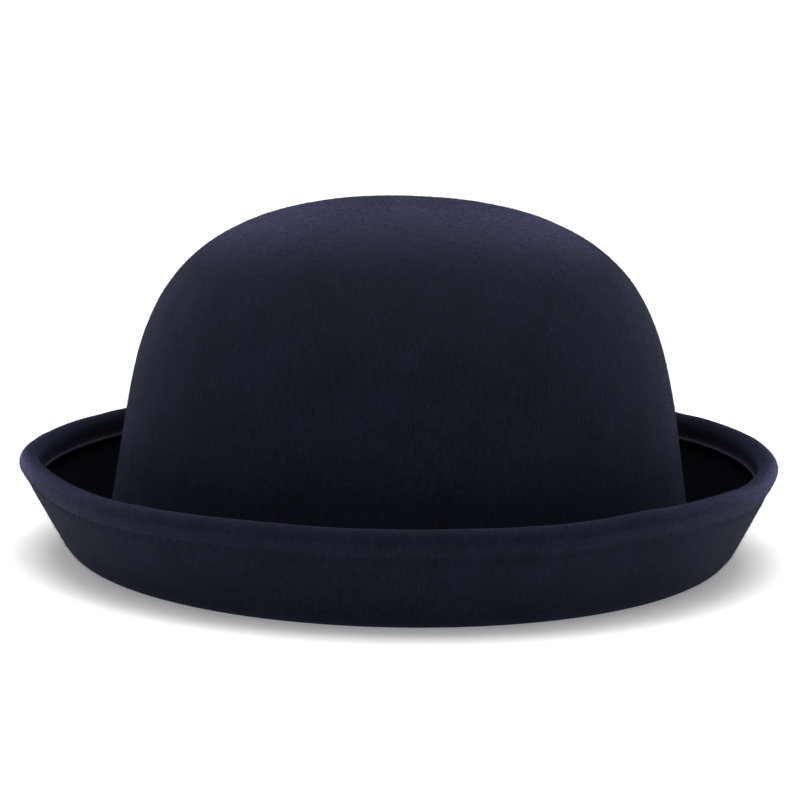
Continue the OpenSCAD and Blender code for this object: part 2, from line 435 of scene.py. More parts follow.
    def straight(self, start: np.ndarray, end: np.ndarray, count: int) -> np.ndarray:
        """Section points along a straight stretch of the brim, without the last one.

        Args:
            start: where it starts, as (d, z).
            end: where it ends.
            count: number of points.

        Returns:
            One row (u, d, z) for each point.
        """
        t = np.linspace(0, 1, count + 1)[:-1, None]
        return np.column_stack([np.ones(count), start + (end - start) * t])

    def skin(self, depth: float) -> np.ndarray:
        """The felt's whole face at one depth, from the top of the crown to the hem's cut edge.

        Args:
            depth: 0 for the outer face of the crown, the felt's thickness for its inner face.

        Returns:
            One row (u, d, z) for each point; both faces have the same number of points.
        """
        roll = math.degrees(self.roll_angle)
        roll_end = self.roll_centre - (self.roll_r + depth) * self.across
        rise_end = roll_end + self.brim_rise * self.along
        flat_from = np.array([self.break_r, self.felt - depth])
        break_centre = np.array([self.break_r, self.break_z])
        return np.concatenate([
            self.crown_line(depth, 1.5 * MM),
            self.arc(break_centre, self.break_r + depth, 180, 270, self.break_rows),
            self.straight(flat_from, flat_from + [self.rest_w, 0], self.rest_rows),
            self.arc(self.roll_centre, self.roll_r + depth, 270, 270 + roll, self.roll_rows),
            self.straight(roll_end, rise_end, self.rise_rows),
            self.arc(self.tunnel_centre, self.tunnel_r + depth, roll - 90, roll + 90, self.fold_rows),
            self.hem_point(np.linspace(0, self.hem_depth - self.fold_r, self.hem_rows), depth)])

    def on_wall(self, z: float, inside: float) -> np.ndarray:
        """Finds a section point inside the crown.

        Args:
            z: its height.
            inside: its distance from the crown's inner wall.

        Returns:
            The point (u, d, z).
        """
        q = max((z - self.break_z) / (self.height - self.break_z), 0.0)
        return np.array([float(self.crown_u(np.array(q))), -self.felt - inside, z])

    def wobble(self, angle: np.ndarray) -> tuple[np.ndarray, np.ndarray]:
        """How far the brim's edge strays from its blocked shape.

        Args:
            angle: places round the oval.

        Returns:
            Distance up and distance outwards at each place.
        """
        up = sum(size * np.sin(count * angle + phase) for count, size, phase in self.up_waves)
        out = sum(size * np.sin(count * angle + phase) for count, size, phase in self.out_waves)
        for kink in self.kinks:
            away = (angle - kink.angle + math.pi) % TURN - math.pi
            bell = np.exp(-(away * self.base_mean / kink.width) ** 2)
            up, out = up + kink.rise * bell, out + kink.push * bell
        return up, out

    def place(self, section: np.ndarray, angle: np.ndarray | float) -> np.ndarray:
        """Turns section points into places on the hat.

        Args:
            section: rows of (u, d, z).
            angle: the place of each row round the oval, counter-clockwise from +X.

        Returns:
            Rows of x, y, z.
        """
        section = np.atleast_2d(section)
        angle = np.broadcast_to(np.asarray(angle, dtype=float), section.shape[:1])
        u, d, z = section.T
        free = ease((z - self.loose_z) / self.loose_h) * (d > self.break_r)
        up, out = self.wobble(angle)
        d, z = d + out * free, z + up * free
        return np.column_stack([
            (self.base_a * u + d) * np.cos(angle), (self.base_b * u + d) * np.sin(angle), z])

    def round_table(self, section: np.ndarray, count: int = 1440) -> tuple[np.ndarray, np.ndarray]:
        """Measures round the hat, from the back.

        Args:
            section: the section point that the line goes through.
            count: number of steps.

        Returns:
            The length and the angle at each step.
        """
        angle = BACK + np.linspace(0, TURN, count + 1)
        u, d = section[:2]
        x, y = (self.base_a * u + d) * np.cos(angle), (self.base_b * u + d) * np.sin(angle)
        return run_along(np.column_stack([x, y])), angle

    def rate(self, section: np.ndarray) -> float:
        """Length round the hat for one radian at its back, through a section point (u, d, z)."""
        return float(self.base_a * section[0] + section[1])


@dataclass(frozen=True)
class Ring:
    """Surface directions on the hat, found by small steps from a section point."""

    shape: HatShape
    step: float = 0.1 * MM

    def frame(self, section: np.ndarray, outward: np.ndarray, angle: np.ndarray
              ) -> tuple[np.ndarray, np.ndarray, np.ndarray]:
        """Places and directions of one section point at many angles.

        Args:
            section: the section point (u, d, z).
            outward: direction off the surface in the section plane, as (d, z).
            angle: places round the oval.

        Returns:
            Places, directions along the oval and directions off the surface.
        """
        rows = np.tile(section, (len(angle), 1))
        turn = self.step / self.shape.base_mean
        here = self.shape.place(rows, angle)
        along = self.shape.place(rows, angle + turn) - here
        off_rows = rows + np.array([0, outward[0], outward[1]]) * self.step
        off = self.shape.place(off_rows, angle) - here
        along, off = (way / np.linalg.norm(way, axis=1)[:, None] for way in (along, off))
        return here, along, off


# ---- Finishes -------------------------------------------------------------------------------

def new_material(name: str) -> tuple[bpy.types.Material, bpy.types.NodeTree]:
    """Starts a node material with an empty tree."""
    material = bpy.data.materials.new(name)
    material.use_nodes = True
    material.node_tree.nodes.clear()
    return material, material.node_tree


def surface(tree: bpy.types.NodeTree, inputs: dict[str, Any]) -> None:
    """Ends a material in a Principled surface.

    Args:
        tree: the material's tree.
        inputs: what goes into the surface, as for add.
    """
    shader = add(tree, "ShaderNodeBsdfPrincipled", inputs)
    add(tree, "ShaderNodeOutputMaterial", {"Surface": shader})


def spread(tree: bpy.types.NodeTree, coords: Any, size: float | tuple[float, float, float]
           ) -> bpy.types.Node:
    """Scales coordinates so that one unit of a pattern has a real size.

    Args:
        tree: the material's tree.
        coords: coordinates in metres.
        size: the unit's size, the same along each axis or one for each.

    Returns:
        The node that gives the scaled coordinates.
    """
    sizes = (size,) * 3 if isinstance(size, float) else size
    return add(tree, "ShaderNodeMapping", {"Vector": coords, "Scale": [1 / s for s in sizes]})


@dataclass(frozen=True)
class WoolFelt:
    """Wool felt, stiffened, blocked over steam and brushed.

    The fibres mat into a dull, almost black navy with no weave. Their ends stand off the surface
    and catch light at a grazing view, which gives the pale blue bloom along every edge. Round the
    crown's top and along the brim's crest the sheen is made stronger, a painted highlight. Brushing
    lays the fibres down the hat in faint streaks. In the gutter, up the crown's foot and over the
    turned-in hem the colour is darkened and the gloss and sheen are taken away, a painted shade. The
    sheared edge is paler, because the dye takes less in the felt's core.
    """

    name: str = "wool_felt"
    dye: str = "#0a1019"
    fibre: str = "#1b2335"
    core: str = "#333846"
    # Painted shade: the dark colour that the gutter mask mixes in, in the gutter, up the crown's foot and
    # over the turned-in hem.
    painted_shade_colour: str = "#0a0e14"
    bloom: str = "#999cdc"
    bloom_weight: float = 0.065
    # Extra sheen where the highlight mask is set, a painted highlight at the crown's top and the brim's
    # crest.
    highlight_sheen: float = 0.29
    bloom_roughness: float = 0.38
    roughness: float = 0.92
    gloss: float = 0.10
    blotch: float = 16 * MM
    mat_size: float = 1.2 * MM
    tuft_size: float = 1.3 * MM
    fibre_w: float = 0.45 * MM
    fibre_l: float = 5 * MM
    relief: float = 0.16 * MM

    def material(self) -> bpy.types.Material:
        """Builds the material."""
        material, tree = new_material(self.name)
        place = socket(add(tree, "ShaderNodeTexCoord").outputs, "Object")
        cloth = add(tree, "ShaderNodeUVMap", uv_map="cloth")
        mat = add(tree, "ShaderNodeTexNoise", {
            "Vector": spread(tree, place, self.mat_size), "Scale": 1.0, "Detail": 4.0, "Roughness": 0.7})
        nap = add(tree, "ShaderNodeTexNoise", {
            "Vector": spread(tree, cloth, (self.fibre_w, self.fibre_l, 1.0)),
            "Scale": 1.0, "Detail": 3.0, "Roughness": 0.6, "Distortion": 0.4})
        # The gutter mask places painted shade: it darkens the colour and takes away gloss and sheen.
        gutter = socket(add(tree, "ShaderNodeAttribute", attribute_name="gutter").outputs, "Fac")
        gloss = add(tree, "ShaderNodeMapRange", {"Value": gutter, "To Min": self.gloss, "To Max": 0.0})
        height = add(tree, "ShaderNodeMath", {0: mat, 1: nap}, operation="ADD")
        surface(tree, {
            "Base Color": self.shade(tree, place, mat, nap, gutter), "Roughness": self.roughness,
            "Normal": add(tree, "ShaderNodeBump", {
                "Height": height, "Strength": 0.8, "Distance": self.relief}),
            "Diffuse Roughness": 0.9, "Specular IOR Level": gloss,
            "Sheen Weight": self.sheen(tree, place, gutter), "Sheen Roughness": self.bloom_roughness,
            "Sheen Tint": linear(self.bloom)})
        return material

    def shade(self, tree: bpy.types.NodeTree, place: bpy.types.NodeSocket, mat: bpy.types.Node,
              nap: bpy.types.Node, gutter: bpy.types.NodeSocket) -> bpy.types.Node:
        """Colours the felt: paler fibre over the dye, painted shade in the gutter and pale where it is
        cut.

        Args:
            tree: the material's tree.
            place: coordinates on the hat.
            mat: pattern of the matted fibres.
            nap: pattern of the brushed streaks.
            gutter: how much painted shade there is, 0 to 1.

        Returns:
            The node that gives the colour.
        """
        blotch = add(tree, "ShaderNodeTexNoise", {
            "Vector": spread(tree, place, self.blotch), "Scale": 1.0, "Detail": 2.0, "Roughness": 0.5})
        tufts = add(tree, "ShaderNodeMath", {0: mat, 1: nap}, operation="MULTIPLY")
        shown = add(tree, "ShaderNodeMapRange", {
            "Value": tufts, "From Min": 0.16, "From Max": 0.42, "To Min": 0.0, "To Max": 0.6})
        uneven = add(tree, "ShaderNodeMapRange", {
            "Value": blotch, "From Min": 0.3, "From Max": 0.7, "To Min": -0.10, "To Max": 0.10})
        share = add(tree, "ShaderNodeMath", {0: shown, 1: uneven}, operation="ADD", use_clamp=True)
        cut = socket(add(tree, "ShaderNodeAttribute", attribute_name="cut_edge").outputs, "Fac")
        shade = linear(self.dye)
        # The gutter mask mixes in the painted shade colour.
        for factor, over in ((share, self.fibre), (gutter, self.painted_shade_colour), (cut, self.core)):
            shade = add(tree, "ShaderNodeMix", {
                "Factor": factor, "A": shade, "B": linear(over)}, data_type="RGBA")
        return shade

    def sheen(self, tree: bpy.types.NodeTree, place: bpy.types.NodeSocket,
              gutter: bpy.types.NodeSocket) -> bpy.types.Node:
        """Sets how strongly the fibre ends bloom: more at the painted highlights, least in the painted
        shade.

        Args:
            tree: the material's tree.
            place: coordinates on the hat.
            gutter: how much painted shade there is, 0 to 1.

        Returns:
            The node that gives the bloom's strength.
        """
        # Painted highlight: extra sheen where this mask marks the crown's top and the brim's crest.
        raised = socket(add(tree, "ShaderNodeAttribute", attribute_name="raised").outputs, "Fac")
        # Painted shade: the base sheen falls away to none where the gutter mask is set.
        brushed = add(tree, "ShaderNodeMapRange", {
            "Value": gutter, "To Min": self.bloom_weight, "To Max": 0.0})
        level = add(tree, "ShaderNodeMath", {
            0: raised, 1: self.highlight_sheen, 2: brushed}, operation="MULTIPLY_ADD")
        tuft = add(tree, "ShaderNodeTexNoise", {
            "Vector": spread(tree, place, self.tuft_size), "Scale": 1.0, "Detail": 3.0, "Roughness": 0.6})
        patchy = add(tree, "ShaderNodeMapRange", {
            "Value": tuft, "From Min": 0.35, "From Max": 0.65, "To Min": 0.7, "To Max": 1.3})
        return add(tree, "ShaderNodeMath", {0: level, 1: patchy}, operation="MULTIPLY")


@dataclass(frozen=True)
class WoolNap:
    """Loose wool fibre ends that stand off brushed felt: dyed navy, a little paler than the mat."""

    name: str = "wool_nap"
    dark: str = "#0f131e"
    pale: str = "#20253a"
    patch: float = 2.5 * MM

    def material(self) -> bpy.types.Material:
        """Builds the material."""
        material, tree = new_material(self.name)
        place = socket(add(tree, "ShaderNodeTexCoord").outputs, "Object")
        patch = add(tree, "ShaderNodeTexNoise", {
            "Vector": spread(tree, place, self.patch), "Scale": 1.0, "Detail": 2.0})
        shade = add(tree, "ShaderNodeMix", {
            "Factor": patch, "A": linear(self.dark), "B": linear(self.pale)}, data_type="RGBA")
        surface(tree, {
            "Base Color": shade, "Roughness": 0.9, "Specular IOR Level": 0.04,
            "Sheen Weight": 0.08, "Sheen Roughness": 0.4})
        return material


@dataclass(frozen=True)
class SewingThread:
    """Spun polyester sewing thread: two twisted plies with a soft gloss along their crowns."""

    name: str
    dye: str
    pale: str
    fuzz: float = 0.25 * MM

    def material(self) -> bpy.types.Material:
        """Builds the material."""
        material, tree = new_material(self.name)
        place = socket(add(tree, "ShaderNodeTexCoord").outputs, "Object")
        fuzz = add(tree, "ShaderNodeTexNoise", {
            "Vector": spread(tree, place, self.fuzz), "Scale": 1.0, "Detail": 3.0})
        shade = add(tree, "ShaderNodeMix", {
            "Factor": fuzz, "A": linear(self.dye), "B": linear(self.pale)}, data_type="RGBA")
        bump = add(tree, "ShaderNodeBump", {"Height": fuzz, "Strength": 0.5, "Distance": 0.04 * MM})
        surface(tree, {
            "Base Color": shade, "Roughness": 0.55, "Normal": bump,
            "Specular IOR Level": 0.12, "Sheen Weight": 0.03, "Sheen Roughness": 0.4})
        return material


@dataclass(frozen=True)
class WovenCloth:
    """Cloth of fine crossing threads: the gloss and the two thread pitches tell the weave.

    A ribbon's warp shows as fine lines along its ribs, damask as an even small check, and satin as
    long smooth floats with a clear gloss.
    """

    name: str
    thread: str
    valley: str
    pitch_u: float
    pitch_v: float
    roughness: float
    gloss: float
    sheen: float
    relief: float = 0.05 * MM

    def material(self) -> bpy.types.Material:
        """Builds the material."""
        material, tree = new_material(self.name)
        cloth = add(tree, "ShaderNodeUVMap", uv_map="cloth")
        warp = add(tree, "ShaderNodeTexWave", {
            "Vector": spread(tree, cloth, (self.pitch_u, 1.0, 1.0)), "Scale": ONE_BAND,
            "Distortion": 0.0}, wave_type="BANDS", bands_direction="X")
        weft = add(tree, "ShaderNodeTexWave", {
            "Vector": spread(tree, cloth, (1.0, self.pitch_v, 1.0)), "Scale": ONE_BAND,
            "Distortion": 0.0}, wave_type="BANDS", bands_direction="Y")
        slub = add(tree, "ShaderNodeTexNoise", {
            "Vector": spread(tree, cloth, (0.8 * MM, 3 * MM, 1.0)), "Scale": 1.0, "Detail": 2.0})
        weave = add(tree, "ShaderNodeMath", {
            0: socket(warp.outputs, "Fac"), 1: socket(weft.outputs, "Fac")}, operation="MULTIPLY")
        shown = add(tree, "ShaderNodeMath", {0: weave, 1: slub}, operation="MULTIPLY")
        shade = add(tree, "ShaderNodeMix", {
            "Factor": shown, "A": linear(self.valley), "B": linear(self.thread)}, data_type="RGBA")
        bump = add(tree, "ShaderNodeBump", {"Height": weave, "Strength": 0.7, "Distance": self.relief})
        surface(tree, {
            "Base Color": shade, "Roughness": self.roughness, "Normal": bump,
            "Specular IOR Level": self.gloss, "Sheen Weight": self.sheen, "Sheen Roughness": 0.35})
        return material


@dataclass(frozen=True)
class Metal:
    """Bare metal with fine marks along the work: drawing lines on wire, tool marks on a crimp."""

    name: str
    colour: str
    dull: str
    roughness: float
    mark_l: float
    mark_w: float

    def material(self) -> bpy.types.Material:
        """Builds the material."""
        material, tree = new_material(self.name)
        cloth = add(tree, "ShaderNodeUVMap", uv_map="cloth")
        marks = add(tree, "ShaderNodeTexNoise", {
            "Vector": spread(tree, cloth, (self.mark_l, self.mark_w, 1.0)), "Scale": 1.0, "Detail": 3.0})
        shade = add(tree, "ShaderNodeMix", {
            "Factor": marks, "A": linear(self.dull), "B": linear(self.colour)}, data_type="RGBA")
        rough = add(tree, "ShaderNodeMapRange", {
            "Value": marks, "To Min": self.roughness - 0.08, "To Max": self.roughness + 0.08})
        bump = add(tree, "ShaderNodeBump", {"Height": marks, "Strength": 0.3, "Distance": 0.02 * MM})
        surface(tree, {
            "Base Color": shade, "Metallic": 1.0,
            "Roughness": rough, "Normal": bump})
        return material


@dataclass(frozen=True)
class WoundCotton:
    """Cotton yarn wound tightly over wire: matt, grey, with painted shade in the valleys between turns.
    """

    name: str = "cotton_wrap"
    yarn: str = "#4a4a4d"
    valley: str = "#222225"
    hair: float = 0.3 * MM

    def material(self) -> bpy.types.Material:
        """Builds the material."""
        material, tree = new_material(self.name)
        place = socket(add(tree, "ShaderNodeTexCoord").outputs, "Object")
        hair = add(tree, "ShaderNodeTexNoise", {
            "Vector": spread(tree, place, self.hair), "Scale": 1.0, "Detail": 3.0})
        # Painted shade: the lobe mask darkens the colour into the valleys between the yarns.
        lobe = socket(add(tree, "ShaderNodeAttribute", attribute_name="lobe").outputs, "Fac")
        share = add(tree, "ShaderNodeMath", {0: lobe, 1: hair}, operation="MULTIPLY")
        shade = add(tree, "ShaderNodeMix", {
            "Factor": share, "A": linear(self.valley), "B": linear(self.yarn)}, data_type="RGBA")
        bump = add(tree, "ShaderNodeBump", {"Height": hair, "Strength": 0.5, "Distance": 0.05 * MM})
        surface(tree, {
            "Base Color": shade, "Roughness": 0.85, "Normal": bump,
            "Specular IOR Level": 0.2, "Sheen Weight": 0.2})
        return material


@dataclass(frozen=True)
class StudioPaper:
    """White translucent paper with a faint tooth, lit from below and more strongly further away."""

    name: str = "studio_paper"
    white: str = "#f4f4f6"
    glow: float = 0.28
    far_glow: float = 0.9
    near: float = 0.3
    far: float = 1.5
    tooth: float = 1.5 * MM

    def material(self) -> bpy.types.Material:
        """Builds the material."""
        material, tree = new_material(self.name)
        place = socket(add(tree, "ShaderNodeTexCoord").outputs, "Object")
        tooth = add(tree, "ShaderNodeTexNoise", {
            "Vector": spread(tree, place, self.tooth), "Scale": 1.0, "Detail": 2.0})
        bump = add(tree, "ShaderNodeBump", {"Height": tooth, "Strength": 0.1, "Distance": 0.02 * MM})
        away = add(tree, "ShaderNodeVectorMath", {0: place}, operation="LENGTH")
        glow = add(tree, "ShaderNodeMapRange", {
            "Value": away, "From Min": self.near, "From Max": self.far,
            "To Min": self.glow, "To Max": self.far_glow})
        surface(tree, {
            "Base Color": linear(self.white), "Roughness": 0.95, "Specular IOR Level": 0.1,
            "Normal": bump, "Emission Color": linear(self.white), "Emission Strength": glow})
        return material


# ---- Growing trees --------------------------------------------------------------------------

def stitch_tree() -> bpy.types.NodeTree:
    """Builds the tree that puts a two-ply stitch on each point of a seam.

    The points carry two directions, "along" the seam and "off" the surface. A stitch is an arch of
    thread whose ends dip into the cloth.
    """
    tree, given = new_tree("seam_stitches", {
        "Stitch length": ("NodeSocketFloat", 2.5 * MM), "Thread width": ("NodeSocketFloat", 0.45 * MM),
        "Rise": ("NodeSocketFloat", 0.1 * MM), "Sink": ("NodeSocketFloat", 0.4 * MM),
        "Ply turns": ("NodeSocketFloat", 2.0), "Seed": ("NodeSocketInt", 1),
        "Material": ("NodeSocketMaterial", None)})
    size = {s.name: s for s in given.outputs}
    half = add(tree, "ShaderNodeMath", {0: size["Stitch length"], 1: 0.5}, operation="MULTIPLY")
    half_back = add(tree, "ShaderNodeMath", {0: half, 1: -1.0}, operation="MULTIPLY")
    down = add(tree, "ShaderNodeMath", {0: size["Sink"], 1: -1.0}, operation="MULTIPLY")
    peak = add(tree, "ShaderNodeMath", {
        0: size["Rise"], 1: 2.0, 2: size["Sink"]}, operation="MULTIPLY_ADD")
    arch = add(tree, "GeometryNodeCurveQuadraticBezier", {
        "Resolution": 8, "Start": add(tree, "ShaderNodeCombineXYZ", {"X": half_back, "Z": down}),
        "Middle": add(tree, "ShaderNodeCombineXYZ", {"Z": peak}),
        "End": add(tree, "ShaderNodeCombineXYZ", {"X": half, "Z": down})})
    factor = socket(add(tree, "GeometryNodeSplineParameter").outputs, "Factor")
    turns = add(tree, "ShaderNodeMath", {0: size["Ply turns"], 1: TURN}, operation="MULTIPLY")
    tilt = add(tree, "ShaderNodeMath", {0: factor, 1: turns}, operation="MULTIPLY")
    twisted = add(tree, "GeometryNodeSetCurveTilt", {"Curve": arch, "Tilt": tilt})
    quarter = add(tree, "ShaderNodeMath", {0: size["Thread width"], 1: 0.25}, operation="MULTIPLY")
    # A ply's radius is a little over a quarter of the thread, so the two press into each other.
    ply_r = add(tree, "ShaderNodeMath", {0: size["Thread width"], 1: 0.29}, operation="MULTIPLY")
    ply = add(tree, "GeometryNodeCurvePrimitiveCircle", {"Resolution": 6, "Radius": ply_r})
    plies = add(tree, "GeometryNodeJoinGeometry")
    for side in (1.0, -1.0):
        away = add(tree, "ShaderNodeMath", {0: quarter, 1: side}, operation="MULTIPLY")
        moved = add(tree, "GeometryNodeTransform", {
            "Geometry": ply, "Translation": add(tree, "ShaderNodeCombineXYZ", {"X": away})})
        tree.links.new(moved.outputs[0], plies.inputs[0])
    thread = add(tree, "GeometryNodeCurveToMesh", {
        "Curve": twisted, "Profile Curve": plies, "Fill Caps": True})
    smooth = add(tree, "GeometryNodeSetShadeSmooth", {"Geometry": thread})
    along, off = (add(tree, "GeometryNodeInputNamedAttribute", {"Name": way}, data_type="FLOAT_VECTOR")
                  for way in ("along", "off"))
    facing = add(tree, "FunctionNodeAlignRotationToVector", {"Vector": along}, axis="X")
    upright = add(tree, "FunctionNodeAlignRotationToVector", {
        "Rotation": facing, "Vector": off}, axis="Z", pivot_axis="X")
    stretch = add(tree, "FunctionNodeRandomValue", {
        "Min": (0.93, 0.95, 0.9), "Max": (1.05, 1.05, 1.1), "Seed": size["Seed"]},
        data_type="FLOAT_VECTOR")
    placed = add(tree, "GeometryNodeInstanceOnPoints", {
        "Points": size["Geometry"], "Instance": smooth, "Rotation": upright, "Scale": stretch})
    close_tree(tree, placed, size["Material"])
    return tree


def nap_tree() -> bpy.types.NodeTree:
    """Builds the tree that sows loose fibre ends over the faces that a named attribute marks."""
    tree, given = new_tree("felt_nap", {
        "Where": ("NodeSocketString", "nap"), "Fibres per m2": ("NodeSocketFloat", 1e5),
        "Fibre length": ("NodeSocketFloat", 1 * MM), "Fibre width": ("NodeSocketFloat", 0.04 * MM),
        "Lean": ("NodeSocketFloat", 1.2), "Seed": ("NodeSocketInt", 1),
        "Material": ("NodeSocketMaterial", None)})
    size = {s.name: s for s in given.outputs}
    marked = add(tree, "GeometryNodeInputNamedAttribute", {"Name": size["Where"]}, data_type="FLOAT")
    density = add(tree, "ShaderNodeMath", {0: marked, 1: size["Fibres per m2"]}, operation="MULTIPLY")
    sown = add(tree, "GeometryNodeDistributePointsOnFaces", {
        "Mesh": size["Geometry"], "Density": density, "Seed": size["Seed"]}, distribute_method="RANDOM")
    root_r = add(tree, "ShaderNodeMath", {0: size["Fibre width"], 1: 0.5}, operation="MULTIPLY")
    fibre = add(tree, "GeometryNodeMeshCone", {
        "Vertices": 3, "Side Segments": 1, "Fill Segments": 1, "Radius Top": 0.0, "Radius Bottom": root_r,
        "Depth": size["Fibre length"]}, fill_type="NGON")
    lean_back = add(tree, "ShaderNodeMath", {0: size["Lean"], 1: -1.0}, operation="MULTIPLY")
    tilt = add(tree, "FunctionNodeRandomValue", {
        "Min": add(tree, "ShaderNodeCombineXYZ", {"X": lean_back, "Y": lean_back, "Z": -math.pi}),
        "Max": add(tree, "ShaderNodeCombineXYZ", {"X": size["Lean"], "Y": size["Lean"], "Z": math.pi}),
        "Seed": size["Seed"]}, data_type="FLOAT_VECTOR")
    turned = add(tree, "FunctionNodeRotateRotation", {
        "Rotation": socket(sown.outputs, "Rotation"),
        "Rotate By": add(tree, "FunctionNodeEulerToRotation", {"Euler": tilt})},
        rotation_space="LOCAL")
    scale = add(tree, "FunctionNodeRandomValue", {
        "Min": (0.7, 0.7, 0.3), "Max": (1.2, 1.2, 1.0), "Seed": size["Seed"]}, data_type="FLOAT_VECTOR")
    placed = add(tree, "GeometryNodeInstanceOnPoints", {
        "Points": sown, "Instance": fibre, "Rotation": turned, "Scale": scale})
    close_tree(tree, placed, size["Material"])
    return tree


def rib_tree() -> bpy.types.NodeTree:
    """Builds the tree that raises a ribbon's cross ribs, from each point's "run" along it."""
    tree, given = new_tree("grosgrain_ribs", {
        "Rib pitch": ("NodeSocketFloat", 1 * MM), "Rib height": ("NodeSocketFloat", 0.1 * MM),
        "Material": ("NodeSocketMaterial", None)})
    size = {s.name: s for s in given.outputs}
    run = add(tree, "GeometryNodeInputNamedAttribute", {"Name": "run"}, data_type="FLOAT")
    turn = add(tree, "ShaderNodeMath", {0: TURN, 1: size["Rib pitch"]}, operation="DIVIDE")
    phase = add(tree, "ShaderNodeMath", {0: run, 1: turn}, operation="MULTIPLY")
    wave = add(tree, "ShaderNodeMath", {0: phase}, operation="SINE")
    crown = add(tree, "ShaderNodeMath", {0: wave, 1: 0.5}, operation="MULTIPLY")
    height = add(tree, "ShaderNodeMath", {0: crown, 1: size["Rib height"]}, operation="MULTIPLY")
    off = add(tree, "ShaderNodeVectorMath", {
        0: add(tree, "GeometryNodeInputNormal"), "Scale": height}, operation="SCALE")
    raised = add(tree, "GeometryNodeSetPosition", {"Geometry": size["Geometry"], "Offset": off})
    close_tree(tree, raised, size["Material"])
    return tree


# ---- Swept solids ---------------------------------------------------------------------------

def swept(loops: np.ndarray, size_u: float, size_v: float, bore: np.ndarray | None = None
          ) -> tuple[np.ndarray, list, np.ndarray]:
    """Builds a closed solid through a row of loops, with flat ends or with a bore.

    Args:
        loops: rows x loop points x 3.
        size_u: length of the row of loops, for the UV map.
        size_v: length round one loop, for the UV map.
        bore: the matching loops of the bore, if the solid is a tube.

    Returns:
        Points, faces and one UV row for each face corner.
    """
    rows, n = loops.shape[:2]
    points, faces, uv = loops.reshape(-1, 3), [], []
    skins = [(0, False)] if bore is None else [(0, False), (rows * n, True)]
    if bore is not None:
        points = np.concatenate([points, bore.reshape(-1, 3)])
    for first, inside_out in skins:
        for i in range(rows - 1):
            for j in range(n):
                k = (j + 1) % n
                near, beyond = first + i * n, first + (i + 1) * n
                face = [near + j, beyond + j, beyond + k, near + k]
                corner = [(i, j), (i + 1, j), (i + 1, j + 1), (i, j + 1)]
                faces.append(face[::-1] if inside_out else face)
                uv.extend(corner[::-1] if inside_out else corner)
    last = (rows - 1) * n
    if bore is None:
        faces += [list(range(n)), [last + j for j in reversed(range(n))]]
        uv += [(0, j) for j in range(n)] + [(rows - 1, j) for j in reversed(range(n))]
    else:
        start = rows * n
        for j in range(n):
            k = (j + 1) % n
            faces += [[j, k, start + k, start + j],
                      [last + k, last + j, start + last + j, start + last + k]]
            uv += [(0, j), (0, j + 1), (1, j + 1), (1, j), (rows - 1, j + 1), (rows - 1, j),
                   (rows - 2, j), (rows - 2, j + 1)]
    return points, faces, np.array(uv, dtype=float) * [size_u / (rows - 1), size_v / n]


# ---- Sub-assemblies -------------------------------------------------------------------------

class Region(Enum):
    """Stretches of the felt that are brushed, each with its own piece of nap."""

    CROWN = "crown_nap"
    BRIM = "brim_nap"
    INSIDE = "inside_nap"


@dataclass(frozen=True)
class FeltSection:
    """The felt's closed section: down its face, over the hem's cut edge and back up its under side.

    points holds rows of (u, d, z). through is the felt's thickness at each of them, as a step
    towards its face, and still says how firmly the felt is held there, 0 to 1. foot, cut and under
    are the rows at which the crown ends, the cut edge starts and the under side starts.
    """

    points: np.ndarray
    through: np.ndarray
    still: np.ndarray
    foot: int
    cut: int
    under: int


